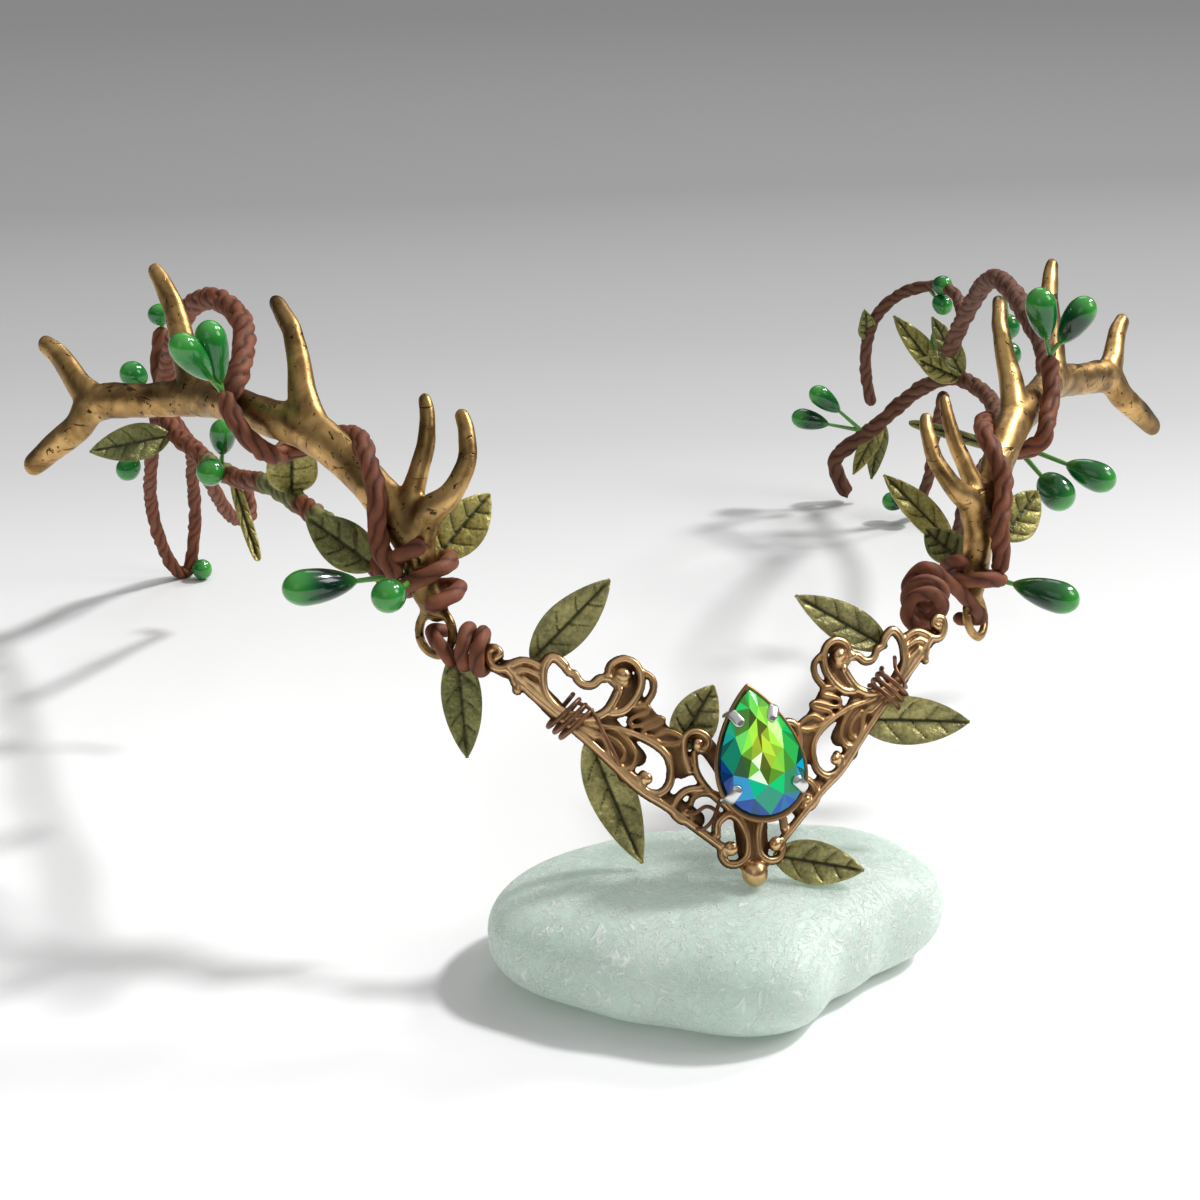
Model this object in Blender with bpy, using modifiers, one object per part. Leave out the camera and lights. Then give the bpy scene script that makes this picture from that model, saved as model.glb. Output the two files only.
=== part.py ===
"""Antler crown resting on a frosted glass display stone.

The crown is a circlet that is open at the back: a cast filigree with a pear stone at the front, a cast antler
at each side, and wire-cored clay vines with leaves and buds that close the ring towards the back. Its front tip
rests on the glass stone and its back rests on vine loops that reach the floor.

The origin lies on the stone's flat base, in the crown's mirror plane. The front is towards -Y and +Z is up.
Tables and sizes are in millimetres, and MM turns them into metres when a mesh is made.
A crown point is (x, y, z): x from the mirror plane, y backwards from the front tip, and z upwards from the
seat line, which runs from the tip's rest on the stone down to the floor at the back.
"""
import math

import bmesh
import bpy
import numpy as np
from mathutils import Matrix, Vector
from mathutils.bvhtree import BVHTree

MM = 0.001

# Clearances
GAP = 0.3
FLOOR_GAP = 0.05

# Glass display stone
STONE_LENGTH = 70.0
STONE_HEIGHT = 15.2
STONE_CENTRE = (-1.5, -8.0)
STONE_BASE_DROP = 0.07

# The crown's ring
TIP_BACK = -10.5
RING_DEPTH = 206.0

# Cast filigree
FILIGREE_LEAN = 27.0
LEFT_BEND_RADIUS = 67.0
RIGHT_FOLD = 0.30
RIGHT_SQUEEZE = 0.967
FOLD_ROUND = 3.0
PLATE_THICKNESS = 1.0
SCROLL_WIRE = 1.2
TIP_BALL = 3.8
BALL_RISE = 0.3

# Pear stone and its setting
PEAR_LENGTH = 17.2
PEAR_WIDTH = 12.0
PEAR_DEPTH = 5.4
PEAR_HEIGHT_ON_WING = 17.4
PEAR_ROLL = 5.0
CUP_WALL = 0.8
PRONG_WIRE = 1.2

# Cast antlers
ANTLER_LENGTH = 92.0
ANTLER_HEIGHT = 42.0
BEAM_WIDTH = 6.6
BEAM_FLATNESS = 0.8
LOOP_DIAMETER = 8.0
LOOP_WIRE = 1.6

# Vines, wraps and wires
BAND_VINE = 3.3
CLIMB_VINE = 2.8
ARCH_VINE = 3.4
BACK_VINE = 2.5
WRAP_VINE = 2.3
COIL_VINE = 2.0
BINDING_WIRE = 0.7

# Leaves and buds
LEAF_THICKNESS = 0.8
LEAF_FOLD = 0.16
LEAF_TIP_WIDTH = 0.5
SPRIG_STEM = 1.0


# Places on the crown

def tip_height():
    """Height of the filigree's lowest point on its slope, with its ball resting on the glass."""
    lean = math.radians(FILIGREE_LEAN)
    return STONE_HEIGHT + GAP + TIP_BALL * (0.5 - BALL_RISE * math.cos(lean))


def crown(x, y, z):
    """World place in millimetres of a crown point."""
    seat = tip_height() * (1 - y / RING_DEPTH)
    return np.array([x, y + TIP_BACK, z + seat])


def on_slope(s, t, proud, back=0.0):
    """Place on the filigree's flat slope: s sideways, t upwards, proud in front of it and back behind it."""
    lean = math.radians(FILIGREE_LEAN)
    forward = math.cos(lean) * proud - math.sin(lean) * t - back
    return np.array([s, TIP_BACK - forward, tip_height() + math.cos(lean) * t + math.sin(lean) * proud])


def wing(s, t, proud=0.0):
    """Place on the bent filigree: the left wing bends in an arc, and the right one is folded nearly straight."""
    if s < 0:
        return on_slope(s, t, proud, s * s / (2 * LEFT_BEND_RADIUS))
    return on_slope(s * RIGHT_SQUEEZE, t, proud, RIGHT_FOLD * (math.hypot(s, FOLD_ROUND) - FOLD_ROUND))


# Foot in crown coordinates, heading from straight sideways, and lean back, in degrees
ANTLER_POSE = {
    "left": {"side": -1, "foot": (-40.3, 28.1, 32.3), "heading": 48.9, "lean": 12.6},
    "right": {"side": 1, "foot": (42.2, 36.9, 26.9), "heading": 50.4, "lean": 18.1},
}


def antler_axes(pose):
    """Unit vectors of an antler's own frame: outwards, upwards and back through it."""
    heading = math.radians(pose["heading"])
    lean = math.radians(pose["lean"])
    side = pose["side"]
    outward = np.array([side * math.cos(heading), math.sin(heading), 0.0])
    inward = np.array([-side * math.sin(heading), math.cos(heading), 0.0])
    upward = math.cos(lean) * np.array([0.0, 0.0, 1.0]) + math.sin(lean) * inward
    through = math.cos(lean) * inward - math.sin(lean) * np.array([0.0, 0.0, 1.0])
    return outward, upward, through


def on_antler(pose, u, v, w):
    """World place in millimetres of an antler point."""
    outward, upward, through = antler_axes(pose)
    return crown(*pose["foot"]) + u * outward + v * upward + w * through


# Meshes

def clear_scene():
    for old in list(bpy.data.objects):
        bpy.data.objects.remove(old, do_unlink=True)


def new_collection(name):
    made = bpy.data.collections.new(name)
    bpy.context.scene.collection.children.link(made)
    return made


def material(name, colour, roughness, metallic=0.0, transmission=0.0):
    made = bpy.data.materials.new(name)
    made.use_nodes = True
    shader = made.node_tree.nodes["Principled BSDF"]
    shader.inputs["Base Color"].default_value = (*colour, 1.0)
    shader.inputs["Roughness"].default_value = roughness
    shader.inputs["Metallic"].default_value = metallic
    shader.inputs["Transmission Weight"].default_value = transmission
    return made


def add_object(name, mesh, surface):
    made = bpy.data.objects.new(name, mesh)
    mesh.materials.clear()
    mesh.materials.append(surface)
    PARTS.objects.link(made)
    return made


def from_bmesh(name, solid, surface):
    """Object from a bmesh in millimetres, with its faces pointing outwards."""
    bmesh.ops.scale(solid, vec=(MM, MM, MM), verts=solid.verts)
    bmesh.ops.recalc_face_normals(solid, faces=solid.faces)
    mesh = bpy.data.meshes.new(name)
    solid.to_mesh(mesh)
    solid.free()
    return add_object(name, mesh, surface)


def bake(thing, weld=0.0):
    """Replace an object's data by the mesh that its modifiers or its curve make."""
    evaluated = thing.evaluated_get(bpy.context.evaluated_depsgraph_get())
    mesh = bpy.data.meshes.new_from_object(evaluated)
    if weld:
        solid = bmesh.new()
        solid.from_mesh(mesh)
        bmesh.ops.remove_doubles(solid, verts=solid.verts, dist=weld)
        bmesh.ops.recalc_face_normals(solid, faces=solid.faces)
        solid.to_mesh(mesh)
        solid.free()
    name = thing.name
    place = thing.matrix_world.copy()
    surface = thing.data.materials[0]
    bpy.data.objects.remove(thing, do_unlink=True)
    made = add_object(name, mesh, surface)
    made.matrix_world = place
    return made


def apply_boolean(thing, other, operation, solver="EXACT", own_overlaps=False):
    cut = thing.modifiers.new("cut", "BOOLEAN")
    cut.operation = operation
    cut.object = other
    cut.solver = solver
    if solver == "EXACT":
        cut.use_self = own_overlaps
    made = bake(thing)
    bpy.data.objects.remove(other, do_unlink=True)
    return made


def smooth_path(points, step):
    """Points on a smooth curve through the given ones, about one every step."""
    points = np.array(points, dtype=float)
    ends = np.vstack([2 * points[0] - points[1], points, 2 * points[-1] - points[-2]])
    path = []
    for a, b, c, d in zip(ends, ends[1:], ends[2:], ends[3:]):
        count = max(1, round(float(np.linalg.norm(c - b)) / step))
        for k in range(count):
            t = k / count
            path.append(0.5 * (2 * b + (c - a) * t + (2 * a - 5 * b + 4 * c - d) * t * t
                               + (3 * b - a - 3 * c + d) * t ** 3))
    path.append(points[-1])
    return np.array(path)


def tube(name, path, radius, sides, surface, closed=False):
    """Round bar along a path, with one radius or one for each point."""
    radii = np.broadcast_to(radius, len(path))
    curve = bpy.data.curves.new(name, "CURVE")
    curve.dimensions = "3D"
    curve.bevel_depth = MM
    curve.bevel_resolution = sides // 2 - 2
    curve.use_fill_caps = True
    spline = curve.splines.new("POLY")
    spline.points.add(len(path) - 1)
    spline.use_cyclic_u = closed
    for point, place, size in zip(spline.points, path, radii):
        point.co = (*(np.array(place) * MM), 1.0)
        point.radius = size
    curve.materials.append(surface)
    made = bpy.data.objects.new(name, curve)
    PARTS.objects.link(made)
    return bake(made, weld=1e-6)


def grown_tree(thing, amount):
    """Vertices and triangles of an object, with its surface moved outwards."""
    mesh = thing.data
    place = thing.matrix_world
    corners = [place @ (v.co + v.normal * amount * MM) for v in mesh.vertices]
    faces = [tuple(p.vertices) for p in mesh.polygons]
    return BVHTree.FromPolygons(corners, faces)


def largest_body(thing):
    """Keep the largest connected body of an object."""
    solid = bmesh.new()
    solid.from_mesh(thing.data)
    left = set(solid.verts)
    bodies = []
    while left:
        seed = left.pop()
        body = {seed}
        front = [seed]
        while front:
            for edge in front.pop().link_edges:
                for vert in edge.verts:
                    if vert in left:
                        left.remove(vert)
                        body.add(vert)
                        front.append(vert)
        bodies.append(body)
    bodies.sort(key=len)
    for body in bodies[:-1]:
        bmesh.ops.delete(solid, geom=list(body), context="VERTS")
    solid.to_mesh(thing.data)
    solid.free()


def seat(thing, others):
    """Press an object against others: what would come closer than GAP to them is cut away.

    The grown copies of wound pieces fold over themselves, so these cuts use the MANIFOLD solver.
    """
    for other in others:
        if not grown_tree(thing, 0).overlap(grown_tree(other, GAP)):
            continue
        mesh = other.data.copy()
        for vert, normal in zip(mesh.vertices, [v.normal.copy() for v in mesh.vertices]):
            vert.co += normal * GAP * MM
        cutter = bpy.data.objects.new("cutter_" + other.name, mesh)
        cutter.matrix_world = other.matrix_world
        cutter.hide_render = True
        cutter.display_type = "WIRE"
        CUTTERS.objects.link(cutter)
        thing = apply_boolean(thing, cutter, "DIFFERENCE", solver="MANIFOLD")
        largest_body(thing)
    return thing


# Glass display stone

# Plan outline: angle from +X in degrees, and its distance from the centre as a share of half the length
STONE_OUTLINE = [(8, 0.85), (20, 0.98), (36, 0.97), (62, 0.82), (92, 0.75), (122, 0.82), (144, 0.94), (160, 1.05),
                 (176, 1.00), (204, 0.75), (230, 0.60), (258, 0.61), (284, 0.60), (308, 0.47), (338, 0.56)]


def outline_radius(angle):
    """Distance of the stone's outline at an angle, read smoothly between the table's rows."""
    angles = [row[0] for row in STONE_OUTLINE]
    shares = [row[1] for row in STONE_OUTLINE]
    rounds = np.array([a - 360 for a in angles] + angles + [a + 360 for a in angles], dtype=float)
    values = np.array(shares * 3)
    window = np.exp(-0.5 * ((rounds - angle) / 13.0) ** 2)
    return STONE_LENGTH / 2 * float((window * values).sum() / window.sum())


def display_stone(surface):
    """Tumbled pebble: full at the rim, nearly flat on top, and clipped flat where it rests."""
    solid = bmesh.new()
    bmesh.ops.create_uvsphere(solid, u_segments=26, v_segments=10, radius=1.0)
    for vert in solid.verts:
        level = max(-1.0, min(1.0, vert.co.z))
        ring = math.sqrt(max(0.0, 1 - level * level))
        angle = math.degrees(math.atan2(vert.co.y, vert.co.x)) % 360
        reach = outline_radius(angle) * ring ** 0.55
        height = STONE_HEIGHT * (0.5 + 0.5 * math.copysign(abs(level) ** 0.8, level))
        drop = STONE_HEIGHT * STONE_BASE_DROP
        vert.co.z = max(0.0, height * (1 + STONE_BASE_DROP) - drop)
        vert.co.x = STONE_CENTRE[0] + reach * math.cos(math.radians(angle)) * (ring > 0)
        vert.co.y = STONE_CENTRE[1] + reach * math.sin(math.radians(angle)) * (ring > 0)
    return from_bmesh("display_stone", solid, surface)


# Cast filigree, drawn flat on one wing as (s, t) in millimetres and mirrored

WING_OUTLINE = [(1.0, 1.2), (2.3, 2.0), (4.6, 3.4), (5.6, 6.0), (7.6, 7.6), (9.6, 8.2), (11.2, 10.0), (12.6, 11.8),
                (15.2, 12.6), (17.4, 15.4), (19.6, 18.2), (22.2, 20.4), (25.4, 22.6), (28.4, 25.4), (31.0, 25.8),
                (31.6, 27.6), (33.4, 28.2), (34.3, 29.8), (33.4, 31.4), (31.4, 31.4), (29.2, 31.0), (27.2, 29.8),
                (26.2, 31.3), (24.6, 31.3), (22.6, 29.4), (21.2, 28.0), (19.0, 29.0), (18.0, 30.9), (15.6, 31.8),
                (13.4, 30.6), (12.0, 29.4), (11.4, 27.2), (12.2, 25.4), (10.6, 23.2), (10.8, 21.8), (8.4, 20.9),
                (6.8, 21.7), (4.8, 20.9), (4.0, 19.0), (3.0, 19.6), (1.0, 21.0)]
WING_HOLES = [
    [(26.4, 27.4), (24.8, 29.0), (23.4, 28.0), (21.3, 26.4), (19.9, 26.6), (19.2, 25.4), (20.0, 23.9), (22.2, 24.0),
     (24.6, 25.2)],
    [(14.6, 19.0), (13.4, 19.0), (12.0, 17.6), (12.2, 16.0), (13.5, 17.0)],
    [(6.8, 11.2), (5.8, 11.8), (5.0, 11.2), (4.8, 10.2), (6.2, 10.5)],
]
# Raised wires that run through their points
WING_RIBS = [
    [(3.9, 4.6), (7.2, 7.3), (11.3, 10.4), (15.0, 12.6), (18.8, 16.6), (21.9, 19.6), (25.0, 22.4), (28.7, 25.8),
     (31.2, 28.6)],
    [(23.8, 30.0), (25.4, 30.8), (26.7, 29.4), (26.9, 26.8), (25.4, 24.2), (22.2, 22.9), (19.0, 23.8), (16.7, 26.5)],
    [(23.8, 29.9), (22.4, 28.6), (21.2, 27.3), (19.8, 28.0), (18.5, 28.5)],
    [(21.9, 21.4), (19.6, 19.9), (17.6, 16.6), (15.4, 14.9)],
]
# Scrolls: lead-in points, the eye that the wire curls round, its turn in degrees and its last radius
WING_SCROLLS = [
    {"lead": [(26.8, 29.4), (29.3, 30.2), (31.5, 29.0)], "eye": (32.4, 30.1), "turn": 285, "last": 1.2},
    {"lead": [(18.0, 23.6), (15.6, 24.6), (13.8, 27.6)], "eye": (15.9, 28.9), "turn": -400, "last": 0.4},
    {"lead": [(19.4, 21.8), (14.6, 20.6), (11.2, 18.4), (11.0, 14.0)], "eye": (13.2, 14.6), "turn": 235, "last": 0.7},
    {"lead": [(7.9, 15.8), (8.6, 18.2)], "eye": (6.7, 19.4), "turn": 310, "last": 0.5},
    {"lead": [(7.6, 13.2), (9.0, 12.8), (10.3, 11.4)], "eye": (9.2, 10.0), "turn": -265, "last": 0.6},
    {"lead": [(4.8, 7.0), (4.2, 8.8), (2.4, 9.0), (0.9, 7.0)], "eye": (2.8, 4.9), "turn": 290, "last": 0.6},
]
WING_END = (32.6, 29.6)
BINDING_PLACE = {"centre": (23.8, 22.7), "along": 42.0, "half_width": 3.0}
SEAT_BOSS_SHARE = 0.55
BEND_STRIP = 11.0
WIRE_RISE = 0.12
WIRE_STEP = 4.2
SCROLL_END = 0.42
SCROLL_STEP = 72


def scroll_path(scroll):
    """A lead-in, then a spiral that keeps turning round the eye while it draws in."""
    lead = smooth_path([(*p, PLATE_THICKNESS / 2 + WIRE_RISE) for p in scroll["lead"]], WIRE_STEP)
    eye = np.array([*scroll["eye"], PLATE_THICKNESS / 2 + WIRE_RISE])
    start = lead[-1] - eye
    first = math.hypot(start[0], start[1])
    angle = math.atan2(start[1], start[0])
    count = round(abs(scroll["turn"]) / SCROLL_STEP)
    turns = []
    for k in range(1, count + 1):
        share = k / count
        radius = first + (scroll["last"] - first) * share
        bearing = angle + math.radians(scroll["turn"]) * share
        turns.append(eye + radius * np.array([math.cos(bearing), math.sin(bearing), 0.0]))
    return np.vstack([lead, turns])


def flat_plate(name, outlines, thickness, surface):
    """Flat outline with holes, given a thickness about its own plane."""
    curve = bpy.data.curves.new(name, "CURVE")
    curve.dimensions = "2D"
    curve.fill_mode = "BOTH"
    curve.extrude = thickness / 2 * MM
    for outline in outlines:
        spline = curve.splines.new("POLY")
        spline.points.add(len(outline) - 1)
        spline.use_cyclic_u = True
        for point, (s, t) in zip(spline.points, outline):
            point.co = (s * MM, t * MM, 0.0, 1.0)
    curve.materials.append(surface)
    made = bpy.data.objects.new(name, curve)
    PARTS.objects.link(made)
    return bake(made, weld=1e-6)


def cut_in_strips(thing, width, reach):
    """Cut a flat mesh's faces every width sideways, so that it can be bent."""
    solid = bmesh.new()
    solid.from_mesh(thing.data)
    count = math.floor(reach / width)
    for k in range(-count, count + 1):
        everything = [*solid.verts, *solid.edges, *solid.faces]
        bmesh.ops.bisect_plane(solid, geom=everything, plane_co=(k * width * MM, 0, 0), plane_no=(1, 0, 0))
    solid.to_mesh(thing.data)
    solid.free()


def move_up(thing, amount):
    for vert in thing.data.vertices:
        vert.co.z += amount * MM


def carry(thing, place):
    """Move a flat mesh, with x, y and z as s, t and proud, onto the filigree's slope or its bent wings."""
    for vert in thing.data.vertices:
        s, t, proud = vert.co / MM
        vert.co = Vector(place(s, t, proud)) * MM
    thing.data.update()


def join(name, things, surface):
    """One object from several, still as separate bodies."""
    solid = bmesh.new()
    for thing in things:
        mesh = thing.data
        mesh.transform(thing.matrix_world)
        solid.from_mesh(mesh)
        bpy.data.objects.remove(thing, do_unlink=True)
    mesh = bpy.data.meshes.new(name)
    solid.to_mesh(mesh)
    solid.free()
    return add_object(name, mesh, surface)


def mirrored(points):
    return [(-s, t) for s, t in points]


def wire_path(points, sign):
    """A raised wire's smooth path on one wing, along the plate's front face."""
    path = smooth_path([(*p, PLATE_THICKNESS / 2 + WIRE_RISE) for p in points], WIRE_STEP)
    return path * (sign, 1, 1)


def filigree(surface):
    """Plate with holes, raised wires, a ball at the tip and a boss for the setting, cast as one and bent."""
    outline = WING_OUTLINE + mirrored(WING_OUTLINE[::-1])
    holes = WING_HOLES + [mirrored(hole) for hole in WING_HOLES]
    plate = flat_plate("filigree_front", [outline, *holes], PLATE_THICKNESS, surface)
    cut_in_strips(plate, BEND_STRIP, WING_END[0])
    wires = []
    for sign in (-1, 1):
        for points in WING_RIBS:
            wires.append(tube("rib", wire_path(points, sign), SCROLL_WIRE / 2, 4, surface))
        for scroll in WING_SCROLLS:
            path = scroll_path(scroll) * (sign, 1, 1)
            radii = np.linspace(SCROLL_WIRE / 2, SCROLL_WIRE * SCROLL_END, len(path))
            wires.append(tube("scroll", path, radii, 4, surface))
    solid = bmesh.new()
    ball_place = Matrix.Translation((0, TIP_BALL * BALL_RISE, 0))
    bmesh.ops.create_uvsphere(solid, u_segments=10, v_segments=7, radius=TIP_BALL / 2, matrix=ball_place)
    wires.append(from_bmesh("tip_ball", solid, surface))
    boss_height = PLATE_THICKNESS / 2 + SCROLL_WIRE / 2
    boss = [pear_on_wing(p) for p in pear_outline(SEAT_BOSS_SHARE, 10)]
    wires.append(flat_plate("seat_boss", [boss], boss_height, surface))
    move_up(wires[-1], boss_height / 2)
    whole = apply_boolean(plate, join("raised_wires", wires, surface), "UNION", own_overlaps=True)
    carry(whole, wing)
    return whole


# Pear stone and its setting

def pear_outline(share, count):
    """Pear shape about its own centre: a circle's sine drawn in towards the top."""
    outline = []
    for k in range(count):
        turn = math.tau * k / count
        width = math.sin(turn) * math.sin(turn / 2) ** 0.75
        outline.append((PEAR_WIDTH / 2 * 1.19 * share * width, PEAR_LENGTH / 2 * share * math.cos(turn)))
    return outline


def pear_on_wing(point):
    """Place on the flat wing of a point of the pear, which is set a little askew."""
    roll = math.radians(PEAR_ROLL)
    s, t = point
    return (0.7 + s * math.cos(roll) - t * math.sin(roll),
            PEAR_HEIGHT_ON_WING + s * math.sin(roll) + t * math.cos(roll))


def cup_back():
    """How far the back of the cup stands in front of the filigree's middle surface, clear of its wires."""
    return PLATE_THICKNESS / 2 + SCROLL_WIRE / 2 + WIRE_RISE + GAP * 1.3


def girdle_height():
    """How far the pear's widest edge stands in front of the filigree's middle surface."""
    return cup_back() + CUP_WALL + GAP + PEAR_DEPTH * 0.62


def pear_solid(name, grow, surface):
    """Brilliant-cut pear: table, crown and pavilion facets between rings of the outline."""
    rings = [(0.52, 0.38, 8), (0.82, 0.24, 16), (1.0, 0.04, 16), (1.0, -0.04, 16), (0.62, -0.38, 8), (0.16, -0.62, 8)]
    solid = bmesh.new()
    for share, level, count in rings:
        for point in pear_outline(share + grow / (PEAR_WIDTH / 2), count):
            s, t = pear_on_wing(point)
            height = girdle_height() + PEAR_DEPTH * level + math.copysign(grow, level)
            solid.verts.new((s, t, height))
    bmesh.ops.remove_doubles(solid, verts=solid.verts, dist=0.02)
    hull = bmesh.ops.convex_hull(solid, input=solid.verts)
    loose = [v for v in hull["geom_interior"] if isinstance(v, bmesh.types.BMVert)]
    bmesh.ops.delete(solid, geom=loose, context="VERTS")
    return from_bmesh(name, solid, surface)


# Prongs: bearing round the pear in degrees, clockwise from its top
PRONG_BEARINGS = [-24, 24, -128, 128]


def setting(surface):
    """Cup behind the pear with four prongs bent over its edge."""
    back = cup_back()
    front = girdle_height() - GAP
    outline = [pear_on_wing(p) for p in pear_outline(1.0 + CUP_WALL / (PEAR_WIDTH / 2), 16)]
    cup = flat_plate("stone_setting", [outline], front - back, surface)
    move_up(cup, (front + back) / 2)
    cup = apply_boolean(cup, pear_solid("hollow", GAP, surface), "DIFFERENCE")
    prongs = []
    reach = PEAR_WIDTH / 2
    for k, bearing in enumerate(PRONG_BEARINGS):
        turn = math.radians(bearing)
        width = math.sin(turn) * abs(math.sin(turn / 2)) ** 0.75
        edge = np.array([reach * 1.19 * width, PEAR_LENGTH / 2 * math.cos(turn)])
        out = edge / np.linalg.norm(edge)
        path = []
        over = GAP + PRONG_WIRE / 2
        for beyond, height in ((CUP_WALL * 0.7, back + PRONG_WIRE), (over * 1.25, front - PRONG_WIRE * 0.3),
                               (over * 1.15, girdle_height() + PEAR_DEPTH * 0.06),
                               (-over * 0.4, girdle_height() + PEAR_DEPTH * 0.1 + over * 1.1),
                               (-over * 1.7, girdle_height() + PEAR_DEPTH * 0.2 + over * 1.2)):
            s, t = pear_on_wing(edge + out * beyond)
            path.append((s, t, height))
        prongs.append(tube(f"prong_{k}", path, PRONG_WIRE / 2, 6, surface))
    whole = apply_boolean(cup, join("prongs", prongs, surface), "UNION", own_overlaps=True)
    return whole


# Cast antlers

# Bars of the casting, each through places outwards, upwards and through as shares of length, height and beam
# width, with the thickness there as a share of the beam width
ANTLER_BARS = {
    "beam": [(0.008, 0.050, 0.00, 0.62), (0.035, 0.125, -0.05, 0.76), (0.046, 0.250, -0.25, 0.92),
             (0.100, 0.370, -0.38, 0.98), (0.180, 0.465, -0.38, 0.92), (0.280, 0.550, -0.38, 1.00),
             (0.400, 0.565, -0.30, 0.90), (0.500, 0.575, -0.15, 0.88), (0.595, 0.560, 0.08, 0.96),
             (0.715, 0.505, 0.08, 0.86), (0.835, 0.450, 0.00, 0.94), (0.870, 0.345, -0.08, 0.80),
             (0.922, 0.245, -0.15, 0.72), (0.966, 0.160, -0.18, 0.60)],
    "inner": [(0.046, 0.260, -0.25, 0.90), (0.020, 0.380, -0.36, 0.80), (-0.016, 0.455, -0.32, 0.64),
              (-0.028, 0.570, -0.16, 0.54), (-0.010, 0.670, -0.04, 0.50), (0.006, 0.712, 0.00, 0.44)],
    "outer": [(0.046, 0.300, -0.30, 0.90), (0.060, 0.400, -0.32, 0.72), (0.058, 0.500, -0.26, 0.58),
              (0.056, 0.600, -0.18, 0.52), (0.066, 0.695, -0.12, 0.47), (0.078, 0.738, -0.08, 0.42)],
    "third": [(0.270, 0.540, -0.38, 0.96), (0.315, 0.650, -0.30, 0.84), (0.345, 0.770, -0.18, 0.68),
              (0.380, 0.870, -0.05, 0.60), (0.420, 0.935, 0.06, 0.53), (0.442, 0.958, 0.15, 0.47)],
    "fourth": [(0.590, 0.560, 0.08, 0.94), (0.640, 0.700, 0.14, 0.82), (0.675, 0.830, 0.18, 0.70),
               (0.715, 0.930, 0.20, 0.60), (0.744, 0.982, 0.21, 0.48)],
    "upper": [(0.830, 0.450, 0.00, 0.90), (0.885, 0.500, 0.00, 0.80), (0.935, 0.580, 0.00, 0.70),
              (0.984, 0.626, 0.00, 0.58)],
}
LOOP_PLACE = (0.002, -0.026)


def antler_bar(rows, sides, surface):
    """Tapered bar with a rounded end in the antler's own frame, not yet flattened."""
    scaled = [(u * ANTLER_LENGTH, w * BEAM_WIDTH / BEAM_FLATNESS, v * ANTLER_HEIGHT, size * BEAM_WIDTH / 2)
              for u, v, w, size in rows]
    path = smooth_path(scaled, 7.0)
    radius = path[-1][3]
    ahead = path[-1][:3] - path[-2][:3]
    ahead *= radius * 0.5 / np.linalg.norm(ahead)
    path = np.vstack([path, [*(path[-1][:3] + ahead), radius * 0.5]])
    return tube("bar", path[:, :3], path[:, 3], sides, surface)


def antler(side, surface):
    """One casting: beam and tines joined and flattened, with the cast loop joined to its foot."""
    pose = ANTLER_POSE[side]
    bars = [antler_bar(rows, 8 if name == "beam" else 6, surface) for name, rows in ANTLER_BARS.items()]
    for bar in bars:
        for vert in bar.data.vertices:
            vert.co.y *= BEAM_FLATNESS
    casting = bars[0]
    for bar in bars[1:]:
        casting = apply_boolean(casting, bar, "UNION")
    loop = []
    loop_radius = (LOOP_DIAMETER - LOOP_WIRE) / 2
    for k in range(12):
        bearing = math.tau * k / 12
        loop.append((LOOP_PLACE[0] * ANTLER_LENGTH + loop_radius * math.cos(bearing), 0.0,
                     LOOP_PLACE[1] * ANTLER_HEIGHT + loop_radius * math.sin(bearing)))
    ring = tube("loop", loop, LOOP_WIRE / 2, 6, surface, closed=True)
    casting = apply_boolean(casting, ring, "UNION")
    casting.name = "antler_" + side
    outward, upward, through = antler_axes(pose)
    if pose["side"] < 0:
        for vert in casting.data.vertices:
            vert.co.y = -vert.co.y
        casting.data.flip_normals()
        through = -through
    axes = Matrix([outward, through, upward]).transposed()
    casting.matrix_world = Matrix.LocRotScale(Vector(crown(*pose["foot"])) * MM, axes, None)
    return casting


# Vines

def clear_of_floor(path, radius):
    """A path whose bar lies on the floor where it would dip below it."""
    path = np.array(path)
    path[:, 2] = np.maximum(path[:, 2], radius + FLOOR_GAP)
    return path


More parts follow.
